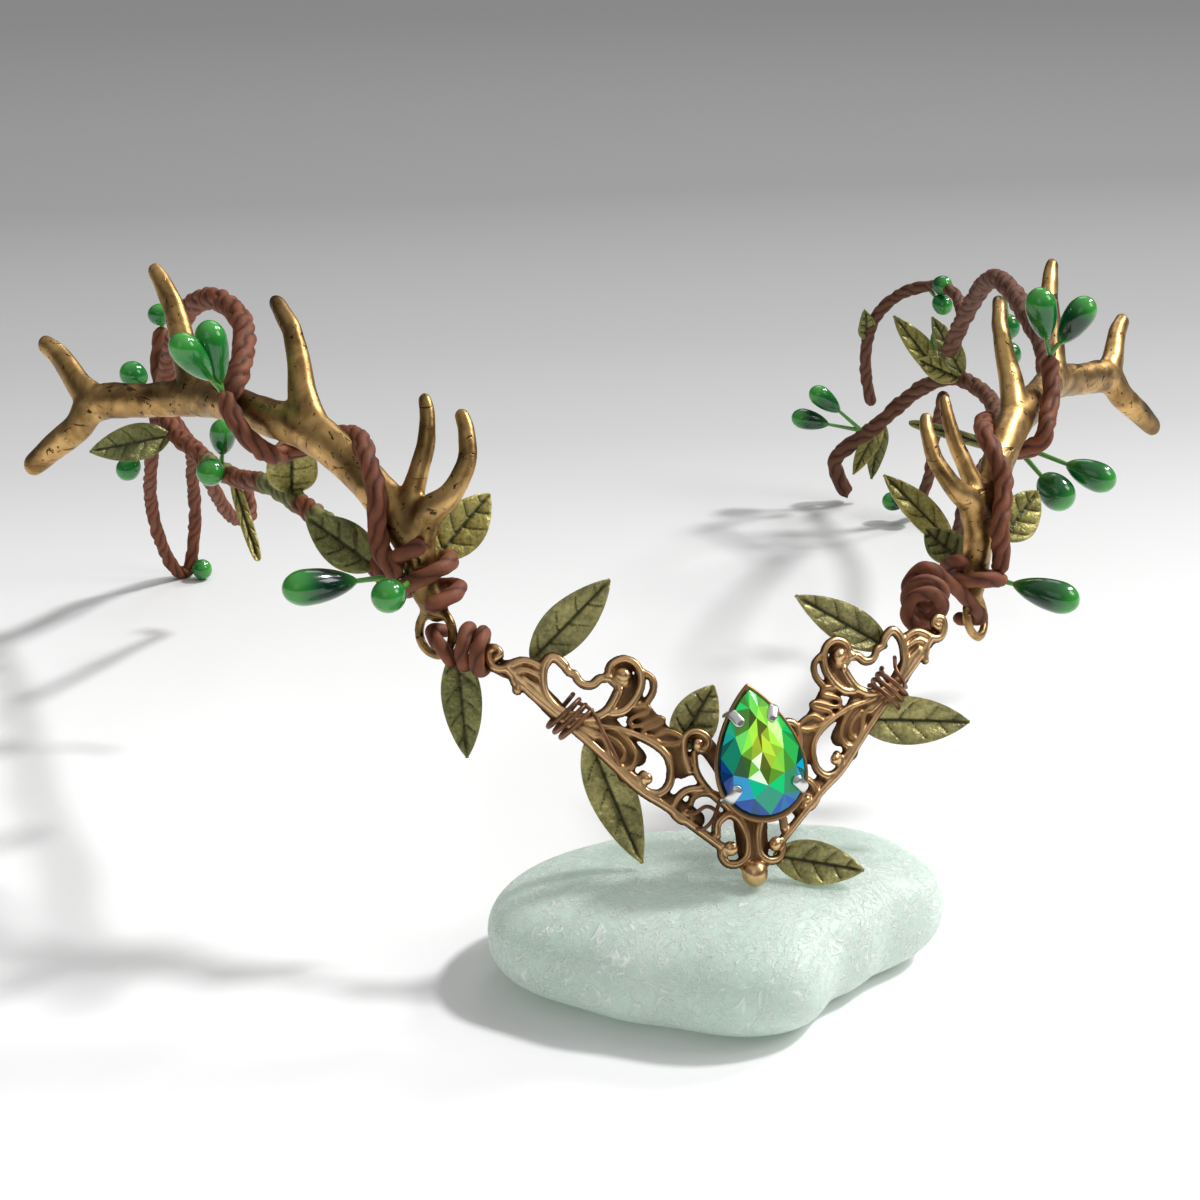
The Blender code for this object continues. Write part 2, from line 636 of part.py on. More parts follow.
# Routes of the ring's vines through crown points, with their diameters
RING_VINES = {
    "vine_band_left": (BAND_VINE, [
        (-46.4, 31.8, 37.6), (-48.8, 38.5, 40.6), (-51.0, 48.5, 41.2), (-53.0, 60.5, 39.8), (-57.0, 75.5, 40.3),
        (-61.0, 90.5, 40.2), (-65.5, 105.5, 38.0), (-69.5, 120.5, 37.0), (-72.5, 135.5, 37.0), (-76.5, 152.5, 37.5),
        (-78.0, 165.5, 41.0), (-78.5, 170.5, 48.0), (-77.5, 170.5, 54.5)]),
    "arch_vine_left": (ARCH_VINE, [
        (-67.4, 60.0, 60.6), (-64.8, 68.5, 65.6), (-64.5, 79.0, 69.5), (-68.0, 93.5, 71.0), (-72.0, 109.0, 67.5),
        (-74.5, 123.5, 61.0), (-76.5, 139.0, 52.5), (-78.5, 148.5, 44.0), (-80.5, 154.5, 41.0)]),
    "floor_loop_left": (BACK_VINE, [
        (-79.6, 161.0, 39.0), (-81.5, 170.5, 26.0), (-82.0, 178.5, 18.0), (-81.0, 182.5, 9.5), (-78.5, 187.0, 1.5),
        (-75.5, 189.0, -0.5), (-73.5, 188.5, 11.0), (-73.5, 182.5, 21.0), (-73.5, 172.5, 30.0),
        (-77.0, 161.5, 39.0)]),
    "tendril_left": (BACK_VINE, [
        (-71.6, 130.5, 35.6), (-69.5, 140.5, 28.0), (-66.5, 152.5, 20.0), (-63.0, 158.5, 18.5), (-63.0, 162.5, 23.0)]),
    "vine_band_right": (BAND_VINE, [
        (41.5, 46.5, 33.0), (46.5, 56.5, 32.5), (54.0, 75.5, 34.5), (65.5, 100.5, 34.0), (77.0, 125.5, 32.5),
        (85.5, 150.5, 32.0), (91.0, 175.5, 32.5), (91.0, 195.5, 32.5), (87.5, 205.5, 29.0), (83.5, 210.5, 24.0),
        (79.0, 212.5, 19.0), (74.5, 214.5, 15.0), (70.5, 215.5, 11.0), (71.0, 215.5, 7.0), (73.5, 214.5, 2.0)]),
    "arch_vine_right": (ARCH_VINE, [
        (67.0, 77.5, 55.0), (70.0, 88.0, 58.5), (72.0, 103.0, 61.5), (75.5, 119.0, 62.5), (78.0, 135.0, 63.0),
        (81.0, 150.5, 60.0), (84.0, 165.5, 54.5), (86.0, 178.5, 47.5), (87.5, 190.5, 39.0)]),
    "back_arch_right": (BACK_VINE, [
        (87.0, 180.0, 47.8), (88.5, 190.5, 51.5), (86.5, 198.5, 52.5), (81.5, 204.5, 50.5), (77.5, 208.5, 46.0),
        (75.5, 210.5, 40.0), (75.5, 211.5, 32.0), (77.0, 211.0, 24.0)]),
    "drop_right": (BACK_VINE, [
        (89.5, 198.0, 29.0), (87.5, 197.5, 18.5), (87.0, 198.5, 9.0), (84.0, 200.5, -0.5)]),
}
# Vines that climb an antler, through its own points in millimetres outwards, upwards and through
ANTLER_VINES = {
    "climb_vine_left": ("left", [
        (6.6, 9.4, -6.2), (8.0, 13.0, -6.4), (9.0, 17.4, -6.3), (13.4, 21.9, -4.4), (18.8, 23.6, -0.8),
        (25.2, 22.9, 2.6), (31.5, 20.6, 3.2), (35.2, 18.4, 1.0), (34.0, 18.6, -3.6), (35.8, 20.9, -6.6),
        (38.4, 22.8, -6.6), (40.5, 24.7, -6.4), (42.0, 26.2, -6.2)]),
    "climb_vine_right": ("right", [
        (2.6, 8.0, -5.7), (2.6, 11.2, -6.2), (5.6, 14.8, -6.6), (7.8, 18.1, -6.5), (9.6, 21.9, -5.2),
        (13.0, 23.8, -3.0), (21.9, 24.3, 0.6), (31.0, 22.6, 3.2), (33.6, 19.0, 2.6), (28.4, 17.6, -1.6),
        (26.6, 19.0, -6.2), (29.6, 22.0, -6.9), (33.8, 25.2, -6.8), (36.5, 28.5, -6.4), (37.7, 30.1, -6.2)]),
}
# Turns round an antler's stem: first and last height, turns, and the bearing at the start in degrees
STEM_WRAPS = {
    "base_wrap_left": {"side": "left", "low": 2.8, "high": 10.8, "turns": 2.1, "start": 210.0},
    "base_wrap_right": {"side": "right", "low": 3.0, "high": 6.4, "turns": 1.3, "start": 150.0},
}
# Turns between an antler's loop and the filigree's end: the coil's axis in crown points, its turns and first bearing
COILS = {
    "coil_left": {"side": "left", "axis": [(-38.4, 24.6, 30.6), (-33.9, 22.2, 29.3)], "turns": 2.3, "start": 20.0},
    "coil_right": {"side": "right", "axis": [(33.6, 34.4, 32.2), (30.8, 25.6, 30.0)], "turns": 2.6, "start": 240.0},
}
COIL_BORE = 1.6
RING_STEP = 6.0
CLIMB_STEP = 4.0


def helix(start, end, radius_a, radius_b, turns, first, steps=6):
    """Turns round an axis, with two radii across it, and the first bearing in degrees."""
    axis = end - start
    along = axis / np.linalg.norm(axis)
    across = np.cross(along, (0.0, 0.0, 1.0))
    if np.linalg.norm(across) < 0.3:
        across = np.cross(along, (0.0, 1.0, 0.0))
    across /= np.linalg.norm(across)
    third = np.cross(along, across)
    path = []
    count = round(turns * steps)
    for k in range(count + 1):
        bearing = math.radians(first) + math.tau * turns * k / count
        path.append(start + axis * k / count + radius_a * math.cos(bearing) * across
                    + radius_b * math.sin(bearing) * third)
    return np.array(path)


def ring_vine(name, surface):
    diameter, points = RING_VINES[name]
    path = smooth_path([crown(*p) for p in points], RING_STEP)
    return tube(name, clear_of_floor(path, diameter / 2), diameter / 2, 6, surface)


def antler_vine(name, surface):
    side, points = ANTLER_VINES[name]
    path = smooth_path([on_antler(ANTLER_POSE[side], *p) for p in points], CLIMB_STEP)
    return tube(name, path, CLIMB_VINE / 2, 6, surface)


def stem_wrap(name, surface):
    """A vine wound round the antler's stem, clear of it by GAP."""
    wrap = STEM_WRAPS[name]
    pose = ANTLER_POSE[wrap["side"]]
    foot, crook = ANTLER_BARS["beam"][0], ANTLER_BARS["beam"][2]
    ends = []
    for height in (wrap["low"], wrap["high"]):
        share = (height / ANTLER_HEIGHT - foot[1]) / (crook[1] - foot[1])
        u = (foot[0] + (crook[0] - foot[0]) * min(share, 1.0)) * ANTLER_LENGTH
        w = (foot[2] + (crook[2] - foot[2]) * share) * BEAM_WIDTH
        ends.append(on_antler(pose, u, height, w))
    stem = BEAM_WIDTH / 2 * (foot[3] + crook[3]) / 2
    radius = stem + WRAP_VINE / 2 + GAP
    path = helix(ends[0], ends[1], radius, radius, wrap["turns"], wrap["start"])
    return tube(name, path, WRAP_VINE / 2, 6, surface)


def coil(name, surface):
    """A vine that leaves the antler's loop, turns round itself and runs on behind the wing's end."""
    row = COILS[name]
    pose = ANTLER_POSE[row["side"]]
    start, end = [crown(*p) for p in row["axis"]]
    radius = COIL_BORE + COIL_VINE / 2
    turns = helix(start, end, radius, radius, row["turns"], row["start"])
    loop = (LOOP_PLACE[0] * ANTLER_LENGTH, LOOP_PLACE[1] * ANTLER_HEIGHT)
    behind = on_antler(pose, *loop, LOOP_DIAMETER * 0.45)
    through = on_antler(pose, *loop, -LOOP_DIAMETER * 0.1)
    clear = PLATE_THICKNESS / 2 + COIL_VINE / 2 + GAP
    side = pose["side"]
    tail = [wing(side * (WING_END[0] + COIL_VINE / 2), WING_END[1], -clear - COIL_VINE / 4),
            wing(side * (WING_END[0] - COIL_VINE), WING_END[1] - COIL_VINE / 2, -clear)]
    path = smooth_path(np.vstack([[behind, through], turns, tail]), 3.0)
    return tube(name, path, COIL_VINE / 2, 6, surface)


def binding(side, surface):
    """Fine wire turned three times round the filigree's lower rib and the loop wire beside it."""
    sign = ANTLER_POSE[side]["side"]
    along = math.radians(BINDING_PLACE["along"])
    half = BINDING_PLACE["half_width"]
    deep = PLATE_THICKNESS / 2 + SCROLL_WIRE / 2 + GAP + BINDING_WIRE
    count = 21
    path = []
    for k in range(count + 1):
        bearing = math.tau * 3 * k / count
        run = BINDING_WIRE * 1.5 * (3 * k / count - 1.5)
        across = half * math.cos(bearing)
        s = BINDING_PLACE["centre"][0] + run * math.cos(along) - across * math.sin(along)
        t = BINDING_PLACE["centre"][1] + run * math.sin(along) + across * math.cos(along)
        path.append(wing(sign * s, t, 0.15 * deep + deep * math.sin(bearing)))
    return tube("binding_" + side, path, BINDING_WIRE / 2, 4, surface)


# Leaves

# Carrier, share along it, tip from that place, width and curl, all in millimetres
VINE_LEAVES = {
    "leaf_antler_left": ("vine_band_left", 0.32, (0.2, -7.0, 13.0), 7.6, 0.6),
    "leaf_stem_left": ("vine_band_left", 0.02, (-10.4, 3.0, 8.0), 6.5, 0.5),
    "leaf_fork_left": ("base_wrap_left", 0.90, (10.2, 5.5, 9.4), 6.6, 0.8),
    "leaf_far_left": ("vine_band_left", 0.80, (-15.8, -4.0, -1.4), 6.5, 0.8),
    "leaf_strap_left": ("vine_band_left", 0.53, (3.6, -6.0, -13.6), 2.2, -1.2),
    "leaf_coil_left": ("coil_left", 0.05, (0.9, -3.0, -16.4), 5.4, 0.8),
    "leaf_fork_right": ("vine_band_right", 0.03, (-9.8, 9.0, 10.0), 4.6, 0.8),
    "leaf_stem_right": ("base_wrap_right", 0.35, (-5.6, 8.0, 4.6), 5.4, 0.5),
    "leaf_beam_right": ("climb_vine_right", 0.06, (7.4, 6.0, 6.0), 6.2, 0.5),
    "leaf_strap_right": ("vine_band_right", 0.40, (-13.0, 15.0, 1.5), 2.2, 0.8),
    "leaf_upper_right": ("vine_band_right", 0.79, (-11.2, 2.0, 14.0), 5.0, 0.6),
    "leaf_tall_right": ("vine_band_right", 0.74, (-7.0, 3.0, 13.5), 5.0, 0.6),
    "leaf_inner_right": ("vine_band_right", 0.74, (-9.6, 4.0, 4.0), 5.2, 0.6),
    "leaf_arch_right": ("back_arch_right", 0.75, (-1.6, -3.0, 8.2), 3.8, 0.5),
    "leaf_hang_right": ("vine_band_right", 0.885, (-6.6, 0.5, -12.8), 4.2, -0.6),
    "leaf_hang_back": ("vine_band_right", 0.885, (-1.8, 2.2, -14.6), 4.2, -0.6),
}
# Leaves on the filigree: their place on the wing, behind it or in front, then tip, width and curl as above
WING_LEAVES = {
    "leaf_front_left": ((-28.0, 30.4), -1, (11.6, 2.0, 10.8), 6.2, 0.8),
    "leaf_low_left": ((-21.0, 20.4), -1, (6.7, -5.0, -17.8), 6.4, -1.0),
    "leaf_behind_stone": ((-9.0, 18.8), -1, (5.4, 2.0, 8.4), 6.2, 0.5),
    "leaf_front_right": ((24.6, 28.9), -1, (-13.2, 2.0, 8.0), 5.4, 0.8),
    "leaf_low_right": ((18.4, 19.6), -1, (16.6, -1.0, -1.2), 6.6, 0.6),
    "leaf_tip_right": ((3.2, 3.2), -1, (12.2, -3.6, -1.6), 5.8, 0.5),
}
LEAF_STATIONS = [0.0, 0.18, 0.45, 0.76, 1.0]
LEAF_FACING = (0.0, -1.0, 0.35)


def leaf_half_width(share):
    """Half-width along a leaf as a share of its greatest: pointed at both ends, fullest below the middle."""
    return max(0.0, math.sin(math.pi * share ** 0.82)) ** 0.85


def leaf(name, root, tip, width, curl, surface):
    """Cupped leaf with a fold along its mid-rib, from its root to its tip."""
    run = tip - root
    length = float(np.linalg.norm(run))
    along = run / length
    across = np.cross(along, LEAF_FACING)
    across /= np.linalg.norm(across)
    face = np.cross(across, along)
    solid = bmesh.new()
    rows = []
    for share in LEAF_STATIONS:
        half = max(LEAF_TIP_WIDTH, width * leaf_half_width(share)) / 2
        lift = curl * math.sin(math.pi * share)
        row = []
        for edge in (-1, 0, 1):
            height = lift - LEAF_FOLD * half * (1 - abs(edge)) * 2
            row.append(solid.verts.new(root + along * share * length + across * edge * half + face * height))
        rows.append(row)
    for low, high in zip(rows, rows[1:]):
        for k in range(2):
            solid.faces.new((low[k], low[k + 1], high[k + 1], high[k]))
    made = from_bmesh(name, solid, surface)
    thick = made.modifiers.new("thickness", "SOLIDIFY")
    thick.thickness = LEAF_THICKNESS * MM
    thick.offset = 0.0
    made = bake(made, weld=1e-6)
    return made


def along_path(path, share):
    """Place at a share of a path's length."""
    steps = np.linalg.norm(np.diff(path, axis=0), axis=1)
    run = np.concatenate([[0.0], np.cumsum(steps)])
    return np.array([np.interp(share * run[-1], run, path[:, k]) for k in range(3)])


def carrier_path(name):
    """Centre line and radius of the vine that carries a leaf or a sprig."""
    if name in RING_VINES:
        diameter, points = RING_VINES[name]
        return clear_of_floor(smooth_path([crown(*p) for p in points], RING_STEP), diameter / 2), diameter / 2
    if name in ANTLER_VINES:
        side, points = ANTLER_VINES[name]
        return smooth_path([on_antler(ANTLER_POSE[side], *p) for p in points], CLIMB_STEP), CLIMB_VINE / 2
    if name in COILS:
        return np.array([crown(*p) for p in COILS[name]["axis"]]), COIL_BORE
    wrap = STEM_WRAPS[name]
    pose = ANTLER_POSE[wrap["side"]]
    middle = on_antler(pose, 0.04 * ANTLER_LENGTH, (wrap["low"] + wrap["high"]) / 2, 0.0)
    return np.array([middle, middle + (0.0, 0.0, 0.1)]), (BEAM_WIDTH + WRAP_VINE) / 2


def vine_leaf(name, surface):
    carrier, share, offset, width, curl = VINE_LEAVES[name]
    path, radius = carrier_path(carrier)
    place = along_path(path, share)
    offset = np.array(offset)
    out = offset / np.linalg.norm(offset)
    return leaf(name, place + out * (radius + GAP), place + offset, width, curl, surface)


def wing_leaf(name, surface):
    (s, t), front, offset, width, curl = WING_LEAVES[name]
    proud = SCROLL_WIRE / 2 if front > 0 else 0.0
    place = wing(s, t, front * (PLATE_THICKNESS / 2 + proud + GAP + LEAF_THICKNESS * 0.7))
    return leaf(name, place, place + np.array(offset), width, curl, surface)


# Buds

# Carrier, share along it, then for each bud: its tip from that place, its length and its width in millimetres
SPRIGS = {
    "sprig_stem_left": ("base_wrap_left", 0.5, [((-20.4, -7.5, 1.2), 11.4, 5.2)]),
    "sprig_end_left": ("base_wrap_left", 0.5, [((-7.4, -13.5, 1.0), 5.6, 4.8)]),
    "sprig_top_left": ("climb_vine_left", 1.0, [((-6.6, -3.9, 9.8), 9.6, 4.6), ((-1.8, 1.3, 10.8), 9.8, 4.8)]),
    "sprig_band_left": ("vine_band_left", 0.57, [((0.6, -5.0, 10.4), 7.4, 4.5), ((-2.8, -8.0, 2.4), 4.8, 4.8)]),
    "sprig_far_left": ("vine_band_left", 0.90, [((-7.4, 0.5, 7.4), 5.6, 5.0), ((-7.8, 0.5, 2.4), 5.4, 4.4)]),
    "berry_top_left": ("vine_band_left", 1.0, [((-0.4, 1.0, 4.6), 4.2, 4.8)]),
    "berry_low_left": ("vine_band_left", 0.84, [((-10.0, -2.0, -9.5), 5.0, 4.4)]),
    "berry_floor_left": ("floor_loop_left", 0.5, [((4.2, -3.6, 1.4), 3.9, 4.2)]),
    "sprig_stem_right": ("base_wrap_right", 0.5, [((13.8, -8.5, -2.8), 10.6, 5.0)]),
    "sprig_top_right": ("climb_vine_right", 1.0, [((-3.0, -1.0, 11.6), 9.0, 5.0), ((5.9, -1.5, 9.8), 9.0, 4.8)]),
    "sprig_side_right": ("climb_vine_right", 0.635, [((8.6, -8.0, -9.6), 7.0, 5.6), ((16.0, -8.0, -6.2), 8.6, 4.9)]),
    "sprig_arch_right": ("arch_vine_right", 0.44, [((2.2, 0.5, -11.0), 4.8, 4.2), ((3.6, 3.5, -17.0), 4.8, 4.6)]),
    "sprig_back_arch": ("back_arch_right", 0.38, [((3.2, -6.5, 1.6), 4.6, 4.2), ((3.8, -5.5, -4.6), 4.8, 4.2)]),
    "sprig_back_right": ("vine_band_right", 0.80, [((-1.2, -4.5, 12.6), 5.4, 4.4), ((1.2, -6.5, 7.6), 5.0, 4.6)]),
    "sprig_end_right": ("vine_band_right", 0.91, [((-13.0, 1.0, 10.6), 8.8, 4.6), ((-17.0, 2.0, 4.2), 8.8, 4.6)]),
    "berries_floor_right": ("drop_right", 0.9, [((-8.4, -1.0, 1.6), 5.0, 4.2), ((-4.6, -6.0, 1.4), 4.8, 4.2)]),
}
# How far a sprig at a vine's end stands off its centre, as a share of the vine's radius
END_REACH = 0.35
# Bud profile from its neck to its tip: share of the length and share of the half-width
BUD_PROFILE = [(0.0, 0.30), (0.26, 0.60), (0.62, 1.0), (0.87, 0.80), (1.0, 0.30)]


def bud_run(place, out, offset, length, width, sideways):
    """Path and radii of one bud and its stem, from the stem's foot to the bud's tip."""
    tip = place + np.array(offset)
    toward = np.array(offset) / np.linalg.norm(offset)
    foot = place + out + sideways
    path = [foot]
    radii = [SPRIG_STEM / 2]
    for share, thickness in BUD_PROFILE:
        path.append(tip - toward * length * (1 - share))
        radii.append(max(SPRIG_STEM / 2, thickness * width / 2))
    return path, radii


def sprig(name, surface):
    """One or two glossy buds on a folded stem that springs from a vine."""
    carrier, share, buds = SPRIGS[name]
    vine_path, radius = carrier_path(carrier)
    place = along_path(vine_path, share)
    mean = np.mean([b[0] for b in buds], axis=0)
    side_reach = radius * (END_REACH if share == 1.0 else 1.0)
    out = mean / np.linalg.norm(mean) * (side_reach + GAP + SPRIG_STEM / 2)
    if len(buds) == 1:
        path, radii = bud_run(place, out, *buds[0], np.zeros(3))
    else:
        spread = np.array(buds[0][0]) - np.array(buds[1][0])
        spread -= mean * np.dot(spread, mean) / np.dot(mean, mean)
        sideways = spread / np.linalg.norm(spread) * SPRIG_STEM * 0.6
        first, first_radii = bud_run(place, out, *buds[0], sideways)
        second, second_radii = bud_run(place, out, *buds[1], -sideways)
        path = first[::-1] + second
        radii = first_radii[::-1] + second_radii
    path = np.array(path)
    path[:, 2] = np.maximum(path[:, 2], np.array(radii) + FLOOR_GAP)
    return tube(name, path, radii, 8, surface)


# The whole crown

def build():
    brass = material("antique_brass", (0.46, 0.30, 0.13), 0.35, metallic=1.0)
    copper = material("antique_copper", (0.50, 0.30, 0.15), 0.35, metallic=1.0)
    silver = material("prong_silver", (0.75, 0.75, 0.76), 0.25, metallic=1.0)
    crystal = material("cut_crystal", (0.10, 0.62, 0.42), 0.05, transmission=0.6)
    frosted = material("frosted_glass", (0.70, 0.82, 0.76), 0.6, transmission=0.5)
    bark = material("vine_clay", (0.25, 0.11, 0.07), 0.65)
    green = material("leaf_clay", (0.24, 0.27, 0.10), 0.5)
    gloss = material("bud_gloss", (0.03, 0.35, 0.10), 0.1)
    wire = material("binding_wire", (0.22, 0.10, 0.06), 0.4, metallic=0.6)
    placed = []

    def keep(thing):
        placed.append(seat(thing, placed))

    keep(display_stone(frosted))
    keep(filigree(copper))
    cup = setting(silver)
    carry(cup, on_slope)
    keep(cup)
    pear = pear_solid("teardrop_stone", 0.0, crystal)
    carry(pear, on_slope)
    keep(pear)
    for side in ANTLER_POSE:
        keep(antler(side, brass))
        keep(binding(side, wire))
    for name in STEM_WRAPS:
        keep(stem_wrap(name, bark))
    for name in COILS:
        keep(coil(name, bark))
    for name in RING_VINES:
        keep(ring_vine(name, bark))
    for name in ANTLER_VINES:
        keep(antler_vine(name, bark))
    for name in SPRIGS:
        keep(sprig(name, gloss))
    for name in VINE_LEAVES:
        keep(vine_leaf(name, green))
    for name in WING_LEAVES:
        keep(wing_leaf(name, green))
    for thing in placed:
        thing.data.shade_smooth()
        thing.data.set_sharp_from_angle(angle=math.radians(40))


clear_scene()
PARTS = new_collection("antler_crown")
CUTTERS = new_collection("cutters")
build()
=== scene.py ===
"""Woodland antler crown on its display stone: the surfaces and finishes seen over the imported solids.

Places and sizes are in millimetres until a surface is laid, and a point is (x, y, z) with z up and the
front at -y.
"""
import bpy
import numpy as np
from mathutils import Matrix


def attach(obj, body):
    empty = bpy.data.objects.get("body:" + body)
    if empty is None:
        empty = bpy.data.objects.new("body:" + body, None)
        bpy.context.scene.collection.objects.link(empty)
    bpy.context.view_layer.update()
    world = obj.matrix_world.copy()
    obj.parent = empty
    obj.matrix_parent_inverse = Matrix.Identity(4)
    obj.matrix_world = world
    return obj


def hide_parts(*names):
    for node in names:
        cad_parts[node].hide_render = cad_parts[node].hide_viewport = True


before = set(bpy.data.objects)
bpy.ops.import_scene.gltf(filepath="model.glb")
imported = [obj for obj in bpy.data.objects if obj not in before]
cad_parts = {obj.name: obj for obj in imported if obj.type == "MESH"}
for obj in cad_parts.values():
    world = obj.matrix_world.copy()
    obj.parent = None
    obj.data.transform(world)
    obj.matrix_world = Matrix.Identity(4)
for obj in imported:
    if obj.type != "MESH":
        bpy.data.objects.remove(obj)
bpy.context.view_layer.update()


# Display stone
# A tumbled pebble of pale sea-green glass, frosted all over and marked with fine curly scratches. It is one
# solid piece, ground flat where it stands, and the crown's front tip rests on its top.
STONE_LENGTH = 70.0
STONE_HEIGHT = 15.2
STONE_CENTRE = (-1.5, -8.0)
STONE_BASE_DROP = 0.07
# Plan outline: bearing from +x in degrees, and distance from the centre as a share of half the length
STONE_OUTLINE = [
    (8, 0.85), (20, 0.98), (36, 0.97), (62, 0.82), (92, 0.75), (122, 0.82), (144, 0.94), (160, 1.05),
    (176, 1.00), (204, 0.75), (230, 0.60), (258, 0.61), (284, 0.60), (308, 0.47), (338, 0.56)
]
SEA_GLASS = (0.70, 0.81, 0.73, 1)
SEA_GLASS_SHADE = (0.54, 0.68, 0.59, 1)
SCRATCH_WHITE = (0.97, 0.99, 0.98, 1)
# Colour of the painted glow that stands in for light passing through the frosted glass
PAINTED_GLOW_GREEN = (0.72, 0.86, 0.77, 1)


def pebble_skin(rows, columns):
    """Ball whose plan reach is the outline times the ring to the power 0.55, and whose height follows
    the level to the power 0.8, with the lowest part pressed flat. The outline is a running mean,
    weighted by a bell curve 13 degrees wide, of the table's shares."""
    level = np.sin(np.linspace(-np.pi / 2, np.pi / 2, rows))[:, None]
    bearing = np.linspace(0, 360, columns, endpoint=False)[None, :]
    table = np.array(STONE_OUTLINE)
    rounds = np.concatenate([table[:, 0] - 360, table[:, 0], table[:, 0] + 360])
    weights = np.exp(-0.5 * ((rounds - bearing[0][:, None]) / 13.0) ** 2)
    outline = STONE_LENGTH / 2 * (weights @ np.tile(table[:, 1], 3)) / weights.sum(axis=1)
    ring = np.sqrt(np.maximum(0.0, 1 - level ** 2))
    reach = outline[None, :] * ring ** 0.55
    height = STONE_HEIGHT * (0.5 + 0.5 * np.sign(level) * np.abs(level) ** 0.8)
    z = np.maximum(0.0, height * (1 + STONE_BASE_DROP) - STONE_HEIGHT * STONE_BASE_DROP)
    x = STONE_CENTRE[0] + reach * np.cos(np.radians(bearing))
    y = STONE_CENTRE[1] + reach * np.sin(np.radians(bearing))
    return np.stack([x, y, z + 0 * x], axis=-1)


def lay(name, grids, surface, slot, *nodes, **marks):
    """One object from grids of points, each (rows, columns, 3): four neighbours make a face, the last
    column joins the first, and the first and last rows are closed. Each mark holds one value a point for
    each grid."""
    faces, points, start = [], [], 0
    for grid in grids:
        rows, columns = grid.shape[:2]
        index = start + np.arange(rows * columns).reshape(rows, columns)
        beside = np.roll(index, -1, axis=1)
        quads = np.stack([index[:-1], beside[:-1], beside[1:], index[1:]], axis=-1).reshape(-1, 4)
        faces += quads.tolist() + [index[0][::-1].tolist(), index[-1].tolist()]
        points.append(grid.reshape(-1, 3))
        start += rows * columns
    values = {key: np.concatenate([np.ravel(part) for part in parts]) for key, parts in marks.items()}
    return lay_mesh(name, np.vstack(points), faces, surface, slot, *nodes, **values)


def lay_mesh(name, points, faces, surface, slot, *nodes, flip=False, smooth=True, **marks):
    """One object from points in millimetres and faces, with its finish, the solids that it stands for
    and its ride."""
    mesh = bpy.data.meshes.new(name)
    mesh.from_pydata((np.asarray(points) * 0.001).tolist(), [], faces)
    if flip:
        mesh.flip_normals()
    for key, values in marks.items():
        domain = "POINT" if len(values) == len(points) else "FACE"
        mesh.attributes.new(key, "FLOAT", domain).data.foreach_set("value", np.asarray(values, np.float32))
    mesh.polygons.foreach_set("use_smooth", [smooth] * len(mesh.polygons))
    mesh.materials.append(surface)
    made = bpy.data.objects.new(name, mesh)
    bpy.context.scene.collection.objects.link(made)
    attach(made, "root")
    if nodes:
        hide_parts(*nodes)
    return made


def finish(name, **values):
    """A fresh finish, with each value on the shader socket of that name."""
    made = bpy.data.materials.new(name)
    made.use_nodes = True
    shader = made.node_tree.nodes["Principled BSDF"]
    for socket, value in values.items():
        shader.inputs[socket.replace("_", " ")].default_value = value
    return made


def add(surface, kind, values=(), **settings):
    """A node of a finish, with its settings and the values of its sockets."""
    node = surface.node_tree.nodes.new("ShaderNode" + kind)
    for key, value in settings.items():
        setattr(node, key, value)
    for socket, value in dict(values).items():
        node.inputs[socket].default_value = value
    return node


def ramp(surface, factor, *stops):
    """Colours along a factor, each stop being a place and a colour. Returns the colour output."""
    node = add(surface, "ValToRGB")
    elements = node.color_ramp.elements
    while len(elements) < len(stops):
        elements.new(0.5)
    for element, (place, colour) in zip(elements, stops):
        element.position = place
        element.color = colour if hasattr(colour, "__len__") else (colour, colour, colour, 1)
    surface.node_tree.links.new(factor, node.inputs["Fac"])
    return node.outputs["Color"]


def noise(surface, scale, detail=3.0, roughness=0.5, distortion=0.0, stretch=None):
    """Cloudy pattern on the object's own coordinates, with its scale in cells a metre."""
    place = add(surface, "TexCoord").outputs["Object"]
    if stretch:
        mapping = add(surface, "Mapping", {"Scale": stretch})
        surface.node_tree.links.new(place, mapping.inputs["Vector"])
        place = mapping.outputs["Vector"]
    node = add(surface, "TexNoise", {"Scale": scale, "Detail": detail, "Roughness": roughness,
                                     "Distortion": distortion})
    surface.node_tree.links.new(place, node.inputs["Vector"])
    return node.outputs["Fac"]


def blend(surface, factor, first, second, how="MIX"):
    """Mix of two colours by a factor. Each is an output or a plain value."""
    node = add(surface, "MixRGB", blend_type=how)
    for socket, value in (("Fac", factor), ("Color1", first), ("Color2", second)):
        if isinstance(value, bpy.types.NodeSocket):
            surface.node_tree.links.new(value, node.inputs[socket])
        else:
            node.inputs[socket].default_value = value
    return node.outputs["Color"]


def send(surface, output, socket):
    surface.node_tree.links.new(output, surface.node_tree.nodes["Principled BSDF"].inputs[socket])


def emboss(surface, strength, distance, *heights):
    """Bump from one or more height outputs, each laid over the one before."""
    last = None
    for height in heights:
        bump = add(surface, "Bump", {"Strength": strength, "Distance": distance * 0.001})
        surface.node_tree.links.new(height, bump.inputs["Height"])
        if last:
            surface.node_tree.links.new(last, bump.inputs["Normal"])
        last = bump.outputs["Normal"]
    send(surface, last, "Normal")
